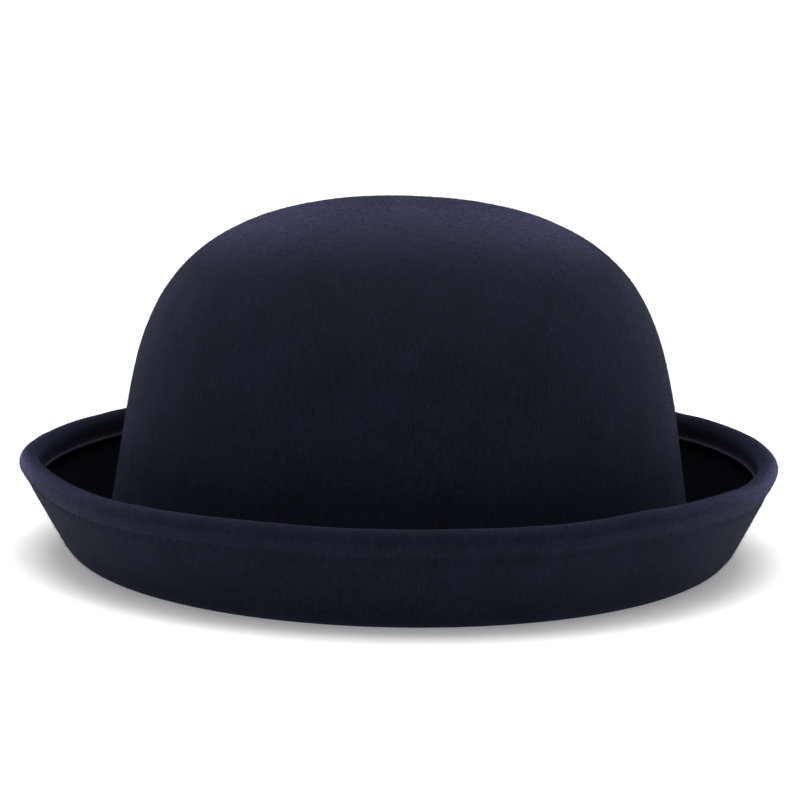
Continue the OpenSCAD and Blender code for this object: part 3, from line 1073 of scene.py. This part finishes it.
@dataclass
class FeltBody:
    """Crown and brim in one felt, with the edge turned in over the wire, and its nap.

    The stitching pulls the felt in by groove over a width of groove_w. cut_bulge holds, for each
    point over the cut edge, its share of the felt's thickness and how far it stands out, and
    cut_shade how pale the rows there are. Blocking leaves a broad unevenness with a finer pebble on
    it, which both fade out below calm_h, and shearing leaves the cut edge ragged. foot_shade is how
    much painted shade darkens the crown's foot, fading out at foot_shade_h, and hem_shade how much it
    darkens the turned-in hem. Above the share highlight_from of the crown's height, rising to
    top_highlight, and along the brim's crest the sheen is made stronger, a painted highlight. Loose
    fibres stand off the brim above rest_h and off the inside above nap_h; fibres is their number to a
    square metre.
    """

    shape: HatShape
    felt: WoolFelt = field(default_factory=WoolFelt)
    nap: WoolNap = field(default_factory=WoolNap)
    turns: int = 300
    groove: float = 0.35 * MM
    groove_w: float = 1.3 * MM
    cut_bulge: tuple[tuple[float, float], ...] = ((0.12, 0.12 * MM), (0.5, 0.25 * MM), (0.88, 0.12 * MM))
    cut_shade: tuple[float, ...] = (0.5, 1, 1, 1, 1, 0.6)
    uneven: float = 0.16 * MM
    uneven_size: float = 14 * MM
    pebble: float = 0.35
    pebble_size: float = 4 * MM
    calm_h: float = 4 * MM
    ragged: float = 0.18 * MM
    ragged_size: float = 1.7 * MM
    # Painted shade at the crown's foot and on the turned-in hem, and painted highlight round the crown's
    # top:
    foot_shade_h: float = 30 * MM
    foot_shade: float = 0.45
    hem_shade: float = 0.6
    highlight_from: float = 0.82
    top_highlight: float = 1.7
    rest_h: float = 1.5 * MM
    nap_h: float = 30 * MM
    fibres: float = 8.5e5
    inside_share: float = 0.5
    fibre_l: float = 1.3 * MM
    fibre_w: float = 0.05 * MM
    lean: float = 1.1

    def lines(self) -> tuple[np.ndarray, np.ndarray, np.ndarray]:
        """The felt's two faces in section, the under one pulled in along the stitching.

        Returns:
            Face points, under points and how much the stitching draws each pair together, 0 to 1.
        """
        shape = self.shape
        face, under = shape.skin(0.0), shape.skin(shape.felt)
        line = shape.tunnel_centre - (shape.stitch_depth - shape.fold_r) * shape.along
        outside = line - shape.fold_r * shape.across
        inside = shape.hem_point(np.array([shape.stitch_depth - shape.fold_r]), shape.felt)[0, 1:]
        press = np.zeros(len(under))
        brim = under[:, 0] == 1
        for seam in (outside, inside):
            away = np.linalg.norm(under[:, 1:] - seam, axis=1) / self.groove_w
            press = np.maximum(press, np.exp(-away ** 2) * brim)
        return face, under + (face - under) * (press * self.groove / shape.felt)[:, None], press

    def section(self) -> FeltSection:
        """Closes the section over the hem's cut edge, which bulges a little past its corners.

        Returns:
            The section.
        """
        shape = self.shape
        face, under, press = self.lines()
        start, end, along = face[-1], under[-1], np.array([0, *shape.along])
        edge = np.array([start + (end - start) * share - along * bulge
                         for share, bulge in self.cut_bulge])
        through = face - under
        cut = len(face) - 1
        return FeltSection(
            points=np.concatenate([face[1:], edge, under[:0:-1]]),
            through=np.concatenate([through[1:], np.zeros_like(edge), through[:0:-1]]),
            still=np.concatenate([press[1:], np.ones(len(edge)), press[:0:-1]]),
            foot=cut - sum((shape.break_rows, shape.rest_rows, shape.roll_rows, shape.rise_rows,
                            shape.fold_rows, shape.hem_rows)),
            cut=cut, under=cut + len(edge))

    def spun(self, section: FeltSection) -> np.ndarray:
        """Turns the section round the oval and adds the unevenness that blocking by hand leaves.

        Args:
            section: the felt's section.

        Returns:
            turns x rows x 3 places.
        """
        shape, n, m = self.shape, len(section.points), self.turns
        angle = np.arange(m) / m * TURN
        places, above = (
            shape.place(np.tile(rows, (m, 1)), np.repeat(angle, n)).reshape(m, n, 3)
            for rows in (section.points, section.points + section.through))
        outward = above - places
        length = np.linalg.norm(outward, axis=2, keepdims=True)
        outward = np.divide(outward, length, out=np.zeros_like(outward), where=length > 0)

        hidden = np.zeros(n)
        hidden[section.cut + 1 - shape.fold_rows - shape.hem_rows:section.under] = 1
        hand = np.array([[noise.noise(Vector(p / self.uneven_size))
                          + self.pebble * noise.noise(Vector(p / self.pebble_size))
                          for p in row] for row in places])
        hand *= self.uneven * ((1 - section.still) * (1 - hidden)) * ease(places[:, :, 2] / self.calm_h)
        places += outward * hand[:, :, None]

        jag = np.array([noise.noise(Vector(p / self.ragged_size)) for p in places[:, section.cut + 1]])
        out, up = shape.along
        down = np.column_stack([-out * np.cos(angle), -out * np.sin(angle), np.full(m, -up)])
        places[:, section.cut:section.under] += down[:, None, :] * (jag * self.ragged)[:, None, None]
        return places

    def net(self, places: np.ndarray) -> tuple[list, list]:
        """Faces over the places, closed over the crown's top on both sides of the felt.

        Args:
            places: turns x rows x 3 places; the two middle points of the top follow them.

        Returns:
            Faces, and one UV row in metres for each face corner.
        """
        m, n = places.shape[:2]
        top = m * n
        run = run_along(places[0])
        turn = TURN * self.shape.base_mean / m
        faces, uv = [], []
        for i in range(m):
            a, b = i * n, (i + 1) % m * n
            left, middle, right = i * turn, (i + 0.5) * turn, (i + 1) * turn
            for j in range(n - 1):
                faces.append([a + j, a + j + 1, b + j + 1, b + j])
                uv += [(left, run[j]), (left, run[j + 1]), (right, run[j + 1]), (right, run[j])]
            faces += [[top, a, b], [top + 1, b + n - 1, a + n - 1]]
            uv += [(middle, 0), (left, run[0]), (right, run[0])]
            uv += [(middle, run[-1]), (right, run[-1]), (left, run[-1])]
        return faces, uv

    def mark(self, piece: bpy.types.Object, section: FeltSection) -> None:
        """Stores where the felt is cut, where it gets painted shade and painted highlight, and where it
        is brushed, for its finish and its nap.

        Args:
            piece: the felt.
            section: the felt's section.
        """
        shape, out, up = self.shape, section.points[:, 1], section.points[:, 2]
        row = np.arange(len(up))
        crown, under = row < section.foot, row >= section.under
        rim = np.zeros(len(up))
        rim[section.cut - 1:section.under + 2] = self.cut_shade
        crest = section.under + shape.hem_rows + shape.fold_rows / 2
        # Painted shade for the gutter mask: up the crown's foot and over the turned-in hem, besides the
        # gutter itself.
        fade = self.foot_shade * ease(1 - up / self.foot_shade_h) * crown
        turned = self.hem_shade * ease((crest - row) / shape.fold_rows * 2) * under
        # Painted highlight: stronger sheen along the brim's crest and round the crown's top.
        edge = np.exp(-((row - crest) / shape.fold_rows * 2) ** 2)
        top_h = self.highlight_from * shape.height
        top = self.top_highlight * ease((up - top_h) / (shape.height - top_h)) * crown
        brim = under & (out > shape.break_r) & (up > self.rest_h)
        inside = under & ~brim & (up > self.nap_h)
        marks = (
            ("cut_edge", rim, (0, 0)), ("gutter", (~crown & ~under) + fade + turned, (0, 0)),
            ("raised", edge + top, (self.top_highlight, 0)), (Region.CROWN.value, crown, (1, 0)),
            (Region.BRIM.value, brim, (0, 0)), (Region.INSIDE.value, inside, (0, 1)))
        for name, rows, ends in marks:
            point_attribute(piece, name, np.append(np.tile(rows.astype(float), self.turns), ends))

    def body(self) -> bpy.types.Object:
        """Builds the felt as one closed shell."""
        section = self.section()
        places = self.spun(section)
        height = self.shape.height
        middle = [[0, 0, height], [0, 0, height - self.shape.felt]]
        faces, uv = self.net(places)
        piece = mesh_object("blocked_felt", np.concatenate([places.reshape(-1, 3), middle]), faces,
                            np.array(uv))
        self.mark(piece, section)
        piece.data.materials.append(self.felt.material())
        return piece

    def nap_piece(self, body: bpy.types.Object, region: Region, tree: bpy.types.NodeTree, seed: int,
                  material: bpy.types.Material) -> bpy.types.Object:
        """Sows one region's loose fibres.

        Args:
            body: the finished felt.
            region: where the fibres grow.
            tree: the sowing tree.
            seed: the region's own random seed.
            material: the fibres' finish.

        Returns:
            The fibres, as one piece.
        """
        piece = linked(region.value, body.data.copy())
        grown(piece, tree, {
            "Where": region.value,
            "Fibres per m2": self.fibres * (self.inside_share if region is Region.INSIDE else 1.0),
            "Fibre length": self.fibre_l, "Fibre width": self.fibre_w, "Lean": self.lean, "Seed": seed,
            "Material": material})
        return piece

    def build(self) -> None:
        """Makes the felt and its nap, and hands them to the frame."""
        body = self.body()
        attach(body, "root")
        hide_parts("felt_body")
        report(body)
        tree, material = nap_tree(), self.nap.material()
        for seed, region in enumerate(Region, start=11):
            piece = self.nap_piece(body, region, tree, seed, material)
            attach(piece, "root")
            report(piece)


@dataclass
class Seam:
    """A row of machine stitches: its thread and the size of one stitch."""

    shape: HatShape
    tree: bpy.types.NodeTree
    pitch: float = 3.5 * MM
    stitch_l: float = 2.5 * MM
    thread_w: float = 0.45 * MM

    def round_angles(self, section: np.ndarray) -> np.ndarray:
        """Spaces stitches evenly all round the hat.

        Args:
            section: the section point that the seam goes through.

        Returns:
            The angle of each stitch.
        """
        run, angle = self.shape.round_table(section)
        count = round(run[-1] / self.pitch)
        return np.interp((np.arange(count) + 0.5) * run[-1] / count, run, angle)

    def sew(self, name: str, node: str, places: np.ndarray, along: np.ndarray, off: np.ndarray,
            material: bpy.types.Material, seed: int, rise: float = 0.1 * MM) -> None:
        """Puts a stitch on each place of a seam and hands the row to the frame.

        Args:
            name: the piece's name.
            node: the node that it replaces.
            places: rows of x, y, z on the cloth's surface.
            along: each stitch's direction.
            off: direction off the cloth at each place.
            material: the thread's finish.
            seed: the row's random seed.
            rise: height of the thread's middle above the cloth.
        """
        piece = mesh_object(name, places, [])
        point_attribute(piece, "along", along)
        point_attribute(piece, "off", off)
        grown(piece, self.tree, {
            "Stitch length": self.stitch_l, "Thread width": self.thread_w, "Rise": rise,
            "Seed": seed, "Material": material})
        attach(piece, "root")
        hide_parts(node)
        report(piece)


@dataclass
class HemStitching:
    """The lockstitched row that holds the turned-in edge: needle side outside, bobbin side inside."""

    seam: Seam
    groove: float
    rise: float = 0.1 * MM

    def build(self, material: bpy.types.Material) -> None:
        """Sews both sides of the row with the given thread."""
        shape = self.seam.shape
        ring = Ring(shape)
        below = shape.stitch_depth - shape.fold_r
        outside = shape.tunnel_centre - below * shape.along - (shape.fold_r - self.groove) * shape.across
        inside = shape.hem_point(np.array([below]), shape.felt - self.groove)[0, 1:]
        sides = (("needle", outside, -shape.across, 3), ("bobbin", inside, shape.across, 4))
        for side, at, off, seed in sides:
            section = np.array([1.0, *at])
            angles = self.seam.round_angles(section)
            self.seam.sew(f"hem_{side}_thread", f"hem_{side}_stitches", *ring.frame(section, off, angles),
                          material, seed, self.rise)


@dataclass
class BrimWire:
    """Steel wire in the fold, wound with cotton, its ends joined in a crimped sleeve at the back.

    end_gap is the air at each end of the core and between the winding and the sleeve. crimps are
    the places of the crimps as shares of the sleeve's length.
    """

    shape: HatShape
    core_r: float = 0.5 * MM
    wrap_r: float = 0.7 * MM
    bore_r: float = 0.52 * MM
    sleeve_r: float = 0.76 * MM
    sleeve_bore_r: float = 0.58 * MM
    joiner_l: float = 20 * MM
    end_gap: float = 0.35 * MM
    steps: int = 720
    core_sides: int = 10
    wrap_sides: int = 12
    sleeve_steps: int = 120
    sleeve_sides: int = 24
    yarn_pitch: float = 1.1 * MM
    yarn_rise: float = 0.09
    lobes: int = 4
    crimps: tuple[float, ...] = (0.22, 0.5, 0.78)
    crimp_w: float = 1.1 * MM
    crimp_depth: float = 0.07 * MM

    @property
    def line(self) -> np.ndarray:
        """Section point of the wire's centre."""
        return np.array([1.0, *self.shape.tunnel_centre])

    def loops(self, radius: float | Callable[[np.ndarray, np.ndarray], np.ndarray], start: float,
              end: float, steps: int, sides: int) -> np.ndarray:
        """Loops of points round the wire's line.

        Args:
            radius: the radius, or what gives it from the run along the wire and the angle round it.
            start: angle of the hat where the loops start.
            end: angle of the hat where they end.
            steps: number of loops.
            sides: number of points in a loop.

        Returns:
            steps x sides x 3 places.
        """
        angle = np.linspace(start, end, steps)
        turn = np.arange(sides) / sides * TURN
        run, round_it = np.meshgrid((angle - start) * self.shape.rate(self.line), turn, indexing="ij")
        r = radius(run, round_it) if callable(radius) else np.full_like(run, radius)
        d, z = self.shape.tunnel_centre
        section = np.stack([np.ones_like(r), d + r * np.cos(round_it), z + r * np.sin(round_it)], axis=2)
        return self.shape.place(section.reshape(-1, 3), np.repeat(angle, sides)).reshape(steps, sides, 3)

    def dress(self, name: str, node: str, outer: np.ndarray, bore: np.ndarray | None,
              material: bpy.types.Material, width: float) -> bpy.types.Object:
        """Makes one swept piece of the wire and hands it to the frame in the node's place.

        Args:
            name: the piece's name.
            node: the node that it replaces.
            outer: loops of its outside.
            bore: the matching loops of its bore, if it has one.
            material: its finish.
            width: its radius, for the UV map.

        Returns:
            The piece.
        """
        points, faces, uv = swept(outer, float(run_along(outer[:, 0])[-1]), TURN * width, bore)
        piece = mesh_object(name, points, faces, uv)
        piece.data.materials.append(material)
        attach(piece, "root")
        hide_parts(node)
        report(piece)
        return piece

    def wound(self, run: np.ndarray, turn: np.ndarray) -> np.ndarray:
        """Radius of the winding, whose yarns lie side by side as rounded lobes."""
        lay = TURN / (self.lobes * self.yarn_pitch)
        lobe = np.abs(np.cos(self.lobes * (turn + lay * run) / 2))
        return self.wrap_r * (1 - self.yarn_rise + self.yarn_rise * lobe)

    def crimped(self, run: np.ndarray, turn: np.ndarray) -> np.ndarray:
        """Radius of the sleeve, nipped from two sides at each crimp."""
        nip = sum(np.exp(-((run - at * self.joiner_l) / self.crimp_w) ** 2) for at in self.crimps)
        return self.sleeve_r - self.crimp_depth * nip * np.cos(turn) ** 2

    def build(self) -> None:
        """Makes the core, its wrap and the sleeve."""
        rate = self.shape.rate(self.line)
        half, room = self.joiner_l / 2 / rate, self.end_gap / rate
        core = self.loops(self.core_r, BACK + room, BACK + TURN - room, self.steps, self.core_sides)
        steel = Metal("spring_steel", "#b9bcc2", "#8f9298", 0.35, 6 * MM, 0.08 * MM)
        self.dress("steel_wire", "brim_wire_core", core, None, steel.material(), self.core_r)

        first, last = BACK + half + room, BACK + TURN - half - room
        outer, bore = (self.loops(radius, first, last, 3 * self.steps, self.wrap_sides)
                       for radius in (self.wound, self.bore_r))
        wrap = self.dress("cotton_winding", "brim_wire_wrap", outer, bore, WoundCotton().material(),
                          self.wrap_r)
        lobe = np.linalg.norm(outer - outer.mean(axis=1, keepdims=True), axis=2) / self.wrap_r
        # From 0.1 in the valleys between the yarns to 1 on them, and 0 in the bore.
        point_attribute(wrap, "lobe", np.append((lobe.ravel() - 0.9) * 10, np.zeros(lobe.size)))

        sleeve, bore = (self.loops(radius, BACK - half, BACK + half, self.sleeve_steps, self.sleeve_sides)
                        for radius in (self.crimped, self.sleeve_bore_r))
        brass = Metal("brass", "#c9a04e", "#8d6c33", 0.3, 0.3 * MM, 2 * MM)
        self.dress("crimped_sleeve", "wire_joiner", sleeve, bore, brass.material(), self.sleeve_r)


@dataclass
class Sweatband:
    """Grosgrain ribbon round the inside of the crown, its ends lapped at the back, and its thread.

    The last end steps in over the first along the ramp. bends are heights on the ribbon at which it
    follows the wall's curve, and its outermost edges keep selvedge_share of the thickness.
    """

    seam: Seam
    low_z: float
    width: float = 26 * MM
    thick: float = 0.5 * MM
    gap: float = 0.3 * MM
    lap: float = 14 * MM
    ramp: float = math.radians(15)
    ramp_room: float = math.radians(5)
    rib_pitch: float = 1.0 * MM
    rib_h: float = 0.14 * MM
    rib_steps: int = 4
    selvedge: float = 0.7 * MM
    selvedge_share: float = 0.5
    bends: tuple[float, ...] = (8 * MM, 14 * MM, 20 * MM)
    hold_up: float = 1 * MM
    samples: int = 2000

    @property
    def shape(self) -> HatShape:
        """The hat's shape."""
        return self.seam.shape

    @property
    def line(self) -> np.ndarray:
        """Section point at the ribbon's half height, along which lengths on it are measured."""
        return self.shape.on_wall(self.low_z + self.width / 2, self.gap + self.thick)

    @property
    def half(self) -> float:
        """Angle of half the lap."""
        return self.lap / 2 / self.shape.rate(self.line)

    @property
    def lap_end(self) -> float:
        """Angle of the ribbon's last end."""
        return BACK + self.half

    def inside(self, angle: float) -> float:
        """Distance of the ribbon's outer face inside the wall: its last end steps in over its first."""
        full_at = BACK + TURN - self.half - self.ramp_room
        return self.gap + (self.thick + self.gap) * float(ease((angle - full_at + self.ramp) / self.ramp))

    def top_of(self, angle: float) -> float:
        """Distance inside the wall of the ribbon's inner face, under the needle thread."""
        return self.inside(angle + TURN if angle < self.lap_end else angle) + self.thick

    def ribbon(self) -> tuple[bpy.types.Object, float]:
        """Weaves the ribbon, with its cross ribs and its firmer edges.

        Returns:
            The ribbon and its length.
        """
        shape = self.shape
        start, end = BACK - self.half, BACK + TURN + self.half
        rough = np.linspace(start, end, self.samples)
        mid = shape.place(np.array([shape.on_wall(self.low_z, self.inside(a)) for a in rough]), rough)
        run = run_along(mid)
        columns = round(run[-1] / self.rib_pitch) * self.rib_steps + 1
        runs = np.linspace(0, run[-1], columns)
        angles = np.interp(runs, run, rough)
        rises = [0, self.selvedge, shape.break_z - self.low_z, *self.bends, self.width - self.selvedge,
                 self.width]
        half_t = np.full(len(rises), self.thick / 2)
        half_t[[0, -1]] *= self.selvedge_share
        loops = []
        for a in angles:
            middle = self.inside(a) + self.thick / 2
            wallward, inward = (
                [shape.on_wall(self.low_z + rise, middle + side * t) for rise, t in zip(rises, half_t)]
                for side in (-1, 1))
            loops.append(shape.place(np.array(wallward + inward[::-1]), a))
        loops = np.array(loops)
        points, faces, uv = swept(loops, run[-1], 2 * (self.width + self.thick))
        piece = mesh_object("grosgrain_ribbon", points, faces, uv)
        point_attribute(piece, "run", np.repeat(runs, len(rises) * 2))
        ribbed = WovenCloth("grosgrain", "#1b1f2b", "#0b0d13", 0.25 * MM, self.rib_pitch, 0.5, 0.35, 0.25)
        grown(piece, rib_tree(), {
            "Rib pitch": self.rib_pitch, "Rib height": self.rib_h, "Material": ribbed.material()})
        return piece, float(run[-1])

    def build(self, thread: bpy.types.Material, felt_thread: bpy.types.Material) -> None:
        """Makes the ribbon and sews it in.

        Args:
            thread: the thread that shows on the ribbon.
            felt_thread: the thread that shows on the felt.
        """
        shape, seam, ring = self.shape, self.seam, Ring(self.seam.shape)
        ribbon, length = self.ribbon()
        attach(ribbon, "root")
        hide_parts("sweatband")
        report(ribbon)

        hold_z = shape.break_z + self.hold_up
        inward = np.array([-1.0, 0.0])
        room = (seam.stitch_l / 2 + self.gap) / shape.rate(self.line)
        angles = seam.round_angles(shape.on_wall(hold_z, self.gap + self.thick))
        angles = angles[np.abs((angles - self.lap_end + math.pi) % TURN - math.pi) > room]
        rows = [ring.frame(shape.on_wall(hold_z, self.top_of(a if a < BACK + TURN else a - TURN)), inward,
                           np.array([a])) for a in angles]
        seam.sew("ribbon_needle_thread", "sweatband_needle_stitches",
                 *[np.concatenate(c) for c in zip(*rows)], thread, 5)
        foot = shape.on_wall(hold_z, -shape.felt)
        seam.sew("ribbon_bobbin_thread", "sweatband_bobbin_stitches",
                 *ring.frame(foot, -inward, seam.round_angles(foot)), felt_thread, 6)

        at = self.lap_end - 2 * room
        low = hold_z + seam.stitch_l / 2
        lap_row = (at, low, self.low_z + self.width - low, self.inside(at + TURN) + self.thick)
        self.upright("lap_thread", "sweatband_lap_stitches", [lap_row], thread, 7)

    def upright(self, name: str, node: str, rows: list[tuple[float, float, float, float]],
                thread: bpy.types.Material, seed: int) -> None:
        """Sews rows of stitches that stand up the wall.

        Args:
            name: the piece's name.
            node: the node that it replaces.
            rows: (angle, lowest height, height of the row, distance inside the wall) for each row.
            thread: the thread's finish.
            seed: the rows' random seed.
        """
        shape, seam, ring = self.shape, self.seam, Ring(self.seam.shape)
        inward = np.array([-1.0, 0.0])
        places, alongs, offs = [], [], []
        for angle, low, height, depth in rows:
            count = int(height // seam.pitch)
            for i in range(count):
                z = low + height / 2 + (i - (count - 1) / 2) * seam.pitch
                here, _, off = ring.frame(shape.on_wall(z, depth), inward, np.array([angle]))
                above = shape.place(shape.on_wall(z + seam.pitch / 2, depth), angle)
                places.append(here[0])
                alongs.append(above[0] - here[0])
                offs.append(off[0])
        seam.sew(name, node, np.array(places), np.array(alongs), np.array(offs), thread, seed)


@dataclass
class Labels:
    """Two blank labels sewn to the ribbon beside its lap: a woven tab and a satin strip.

    lift is the air under a label and seam_in the way from its sides to their stitches. side_share
    and end_share are how much of its thickness its edges keep.
    """

    band: Sweatband
    thick: float = 0.3 * MM
    lift: float = 0.1 * MM
    seam_in: float = 1.2 * MM
    inset: float = 0.6 * MM  # what its thickness and the wall's lean add to each end of a label's box
    columns: int = 49
    rows: int = 17
    side_share: float = 0.6
    end_share: float = 0.75

    def places(self, node: str) -> tuple[float, float, float, float]:
        """Finds a label's place on the ribbon from the frame.

        Args:
            node: the label's node.

        Returns:
            The angles of its two ends and the heights of its lowest and highest point.
        """
        low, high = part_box(node)
        rate = self.band.shape.rate(self.band.line)
        start, end = (math.acos(v / rate) for v in (high[0], low[0]))
        return start + self.inset / rate, end - self.inset / rate, low[2], high[2]

    def label(self, name: str, node: str, cloth: WovenCloth, curl: float) -> None:
        """Makes one label, its corners lifting a little off the ribbon.

        Args:
            name: the piece's name.
            node: the node that the label replaces.
            cloth: the label's weave.
            curl: how far its top corners lift.
        """
        shape = self.band.shape
        start, end, low, high = self.places(node)
        base = self.band.gap + self.band.thick + self.lift
        up = np.linspace(0, 1, self.rows)
        heights = low + (high - low) * up
        loops = []
        for s in np.linspace(0, 1, self.columns):
            outs = base + curl * abs(2 * s - 1) ** 3 * up ** 2
            edge = np.full(self.rows, self.thick * (self.side_share if s in (0, 1) else 1))
            edge[[0, -1]] *= self.end_share
            back, front = ([shape.on_wall(z, o) for z, o in zip(heights, depths)]
                           for depths in (outs, outs + edge))
            loops.append(shape.place(np.array(back + front[::-1]), start + (end - start) * s))
        loops = np.array(loops)
        width = float(run_along(loops[:, 0])[-1])
        points, faces, uv = swept(loops, width, 2 * (high - low))
        piece = mesh_object(name, points, faces, uv)
        piece.data.materials.append(cloth.material())
        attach(piece, "root")
        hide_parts(node)
        report(piece)

    def build(self, thread: bpy.types.Material) -> None:
        """Makes both labels and sews them on with the given thread."""
        tab = WovenCloth("woven_label", "#c9c9c4", "#8e8e8a", 0.5 * MM, 0.5 * MM, 0.75, 0.2, 0.2)
        satin = WovenCloth(
            "satin_label", "#eceae4", "#cfccc4", 0.3 * MM, 1 * MM, 0.32, 0.5, 0.05, 0.01 * MM)
        self.label("woven_tab", "size_label", tab, 0.0)
        self.label("satin_strip", "care_label", satin, 0.4 * MM)
        seam_in = self.seam_in / self.band.shape.rate(self.band.line)
        depth = self.band.gap + self.band.thick + self.lift + self.thick
        rows = []
        for node in ("size_label", "care_label"):
            start, end, low, high = self.places(node)
            rows += [(a, low, high - low, depth) for a in (start + seam_in, end - seam_in)]
        self.band.upright("label_thread", "label_stitches", rows, thread, 8)


@dataclass
class Studio:
    """Glowing white paper, an overhead softbox and a long lens at the viewing angle."""

    elevation: float = math.radians(11.21)
    distance: float = 1.3057
    aim_z: float = 46.96 * MM
    aim_x: float = -0.38 * MM
    roll: float = math.radians(0.95)
    lens: float = 191.75
    floor_half: float = 8.0
    sky: float = 0.36
    box_side: float = 2.4
    box_z: float = 2.4
    box_aim_z: float = 50 * MM
    box_power: float = 82.0

    def camera(self) -> None:
        """Makes the camera."""
        data = bpy.data.cameras.new("camera")
        data.lens, data.sensor_width = self.lens, 36.0
        data.clip_start, data.clip_end = 0.05, 60.0
        camera = linked("camera", data)
        place = Vector((0.0, -math.cos(self.elevation), math.sin(self.elevation))) * self.distance
        view = Vector((self.aim_x, 0.0, self.aim_z)) - place
        turn = view.to_track_quat("-Z", "Y").to_matrix() @ Matrix.Rotation(self.roll, 3, "Z")
        camera.matrix_world = Matrix.Translation(place) @ turn.to_4x4()
        bpy.context.scene.camera = camera

    def floor(self) -> None:
        """Lays the paper."""
        h = self.floor_half
        corners = np.array([(-h, -h, 0), (h, -h, 0), (h, h, 0), (-h, h, 0)])
        floor = mesh_object("paper_floor", corners, [[0, 1, 2, 3]], smooth=False)
        floor.data.materials.append(StudioPaper().material())

    def softbox(self) -> None:
        """Hangs the one square light above the hat, facing it."""
        data = bpy.data.lights.new("overhead_box", "AREA")
        data.shape, data.size, data.size_y = "RECTANGLE", self.box_side, self.box_side
        data.energy = self.box_power
        light = linked("overhead_box", data)
        place = Vector((0.0, 0.0, self.box_z))
        light.location = place
        light.rotation_mode = "QUATERNION"
        light.rotation_quaternion = (Vector((0, 0, self.box_aim_z)) - place).to_track_quat("-Z", "Y")

    def build(self) -> None:
        """Sets the stage."""
        scene = bpy.context.scene
        world = bpy.data.worlds.new("studio_air")
        world.use_nodes = True
        world.node_tree.nodes.clear()
        air = add(world.node_tree, "ShaderNodeBackground", {
            "Color": linear("#ffffff"), "Strength": self.sky})
        add(world.node_tree, "ShaderNodeOutputWorld", {"Surface": air})
        scene.world = world
        scene.view_settings.view_transform = "Standard"
        self.camera()
        self.floor()
        self.softbox()


def main() -> None:
    """Builds the hat and its stage."""
    logging.basicConfig(level=logging.INFO, format="%(name)s: %(message)s")
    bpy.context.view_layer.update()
    Studio().build()
    shape = HatShape.from_frame("felt_body")
    LOG.info("base oval %.1f x %.1f mm, crown %.1f mm high",
             2 * shape.base_a / MM, 2 * shape.base_b / MM, shape.height / MM)
    seam = Seam(shape, stitch_tree())
    felt = FeltBody(shape)
    felt.build()
    BrimWire(shape).build()
    navy = SewingThread("hem_thread", "#070910", "#121624").material()
    black = SewingThread("band_thread", "#12151c", "#2c313d").material()
    HemStitching(seam, felt.groove).build(navy)
    band = Sweatband(seam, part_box("sweatband")[0][2])
    band.build(black, navy)
    Labels(band).build(black)


if __name__ == "__main__":
    main()
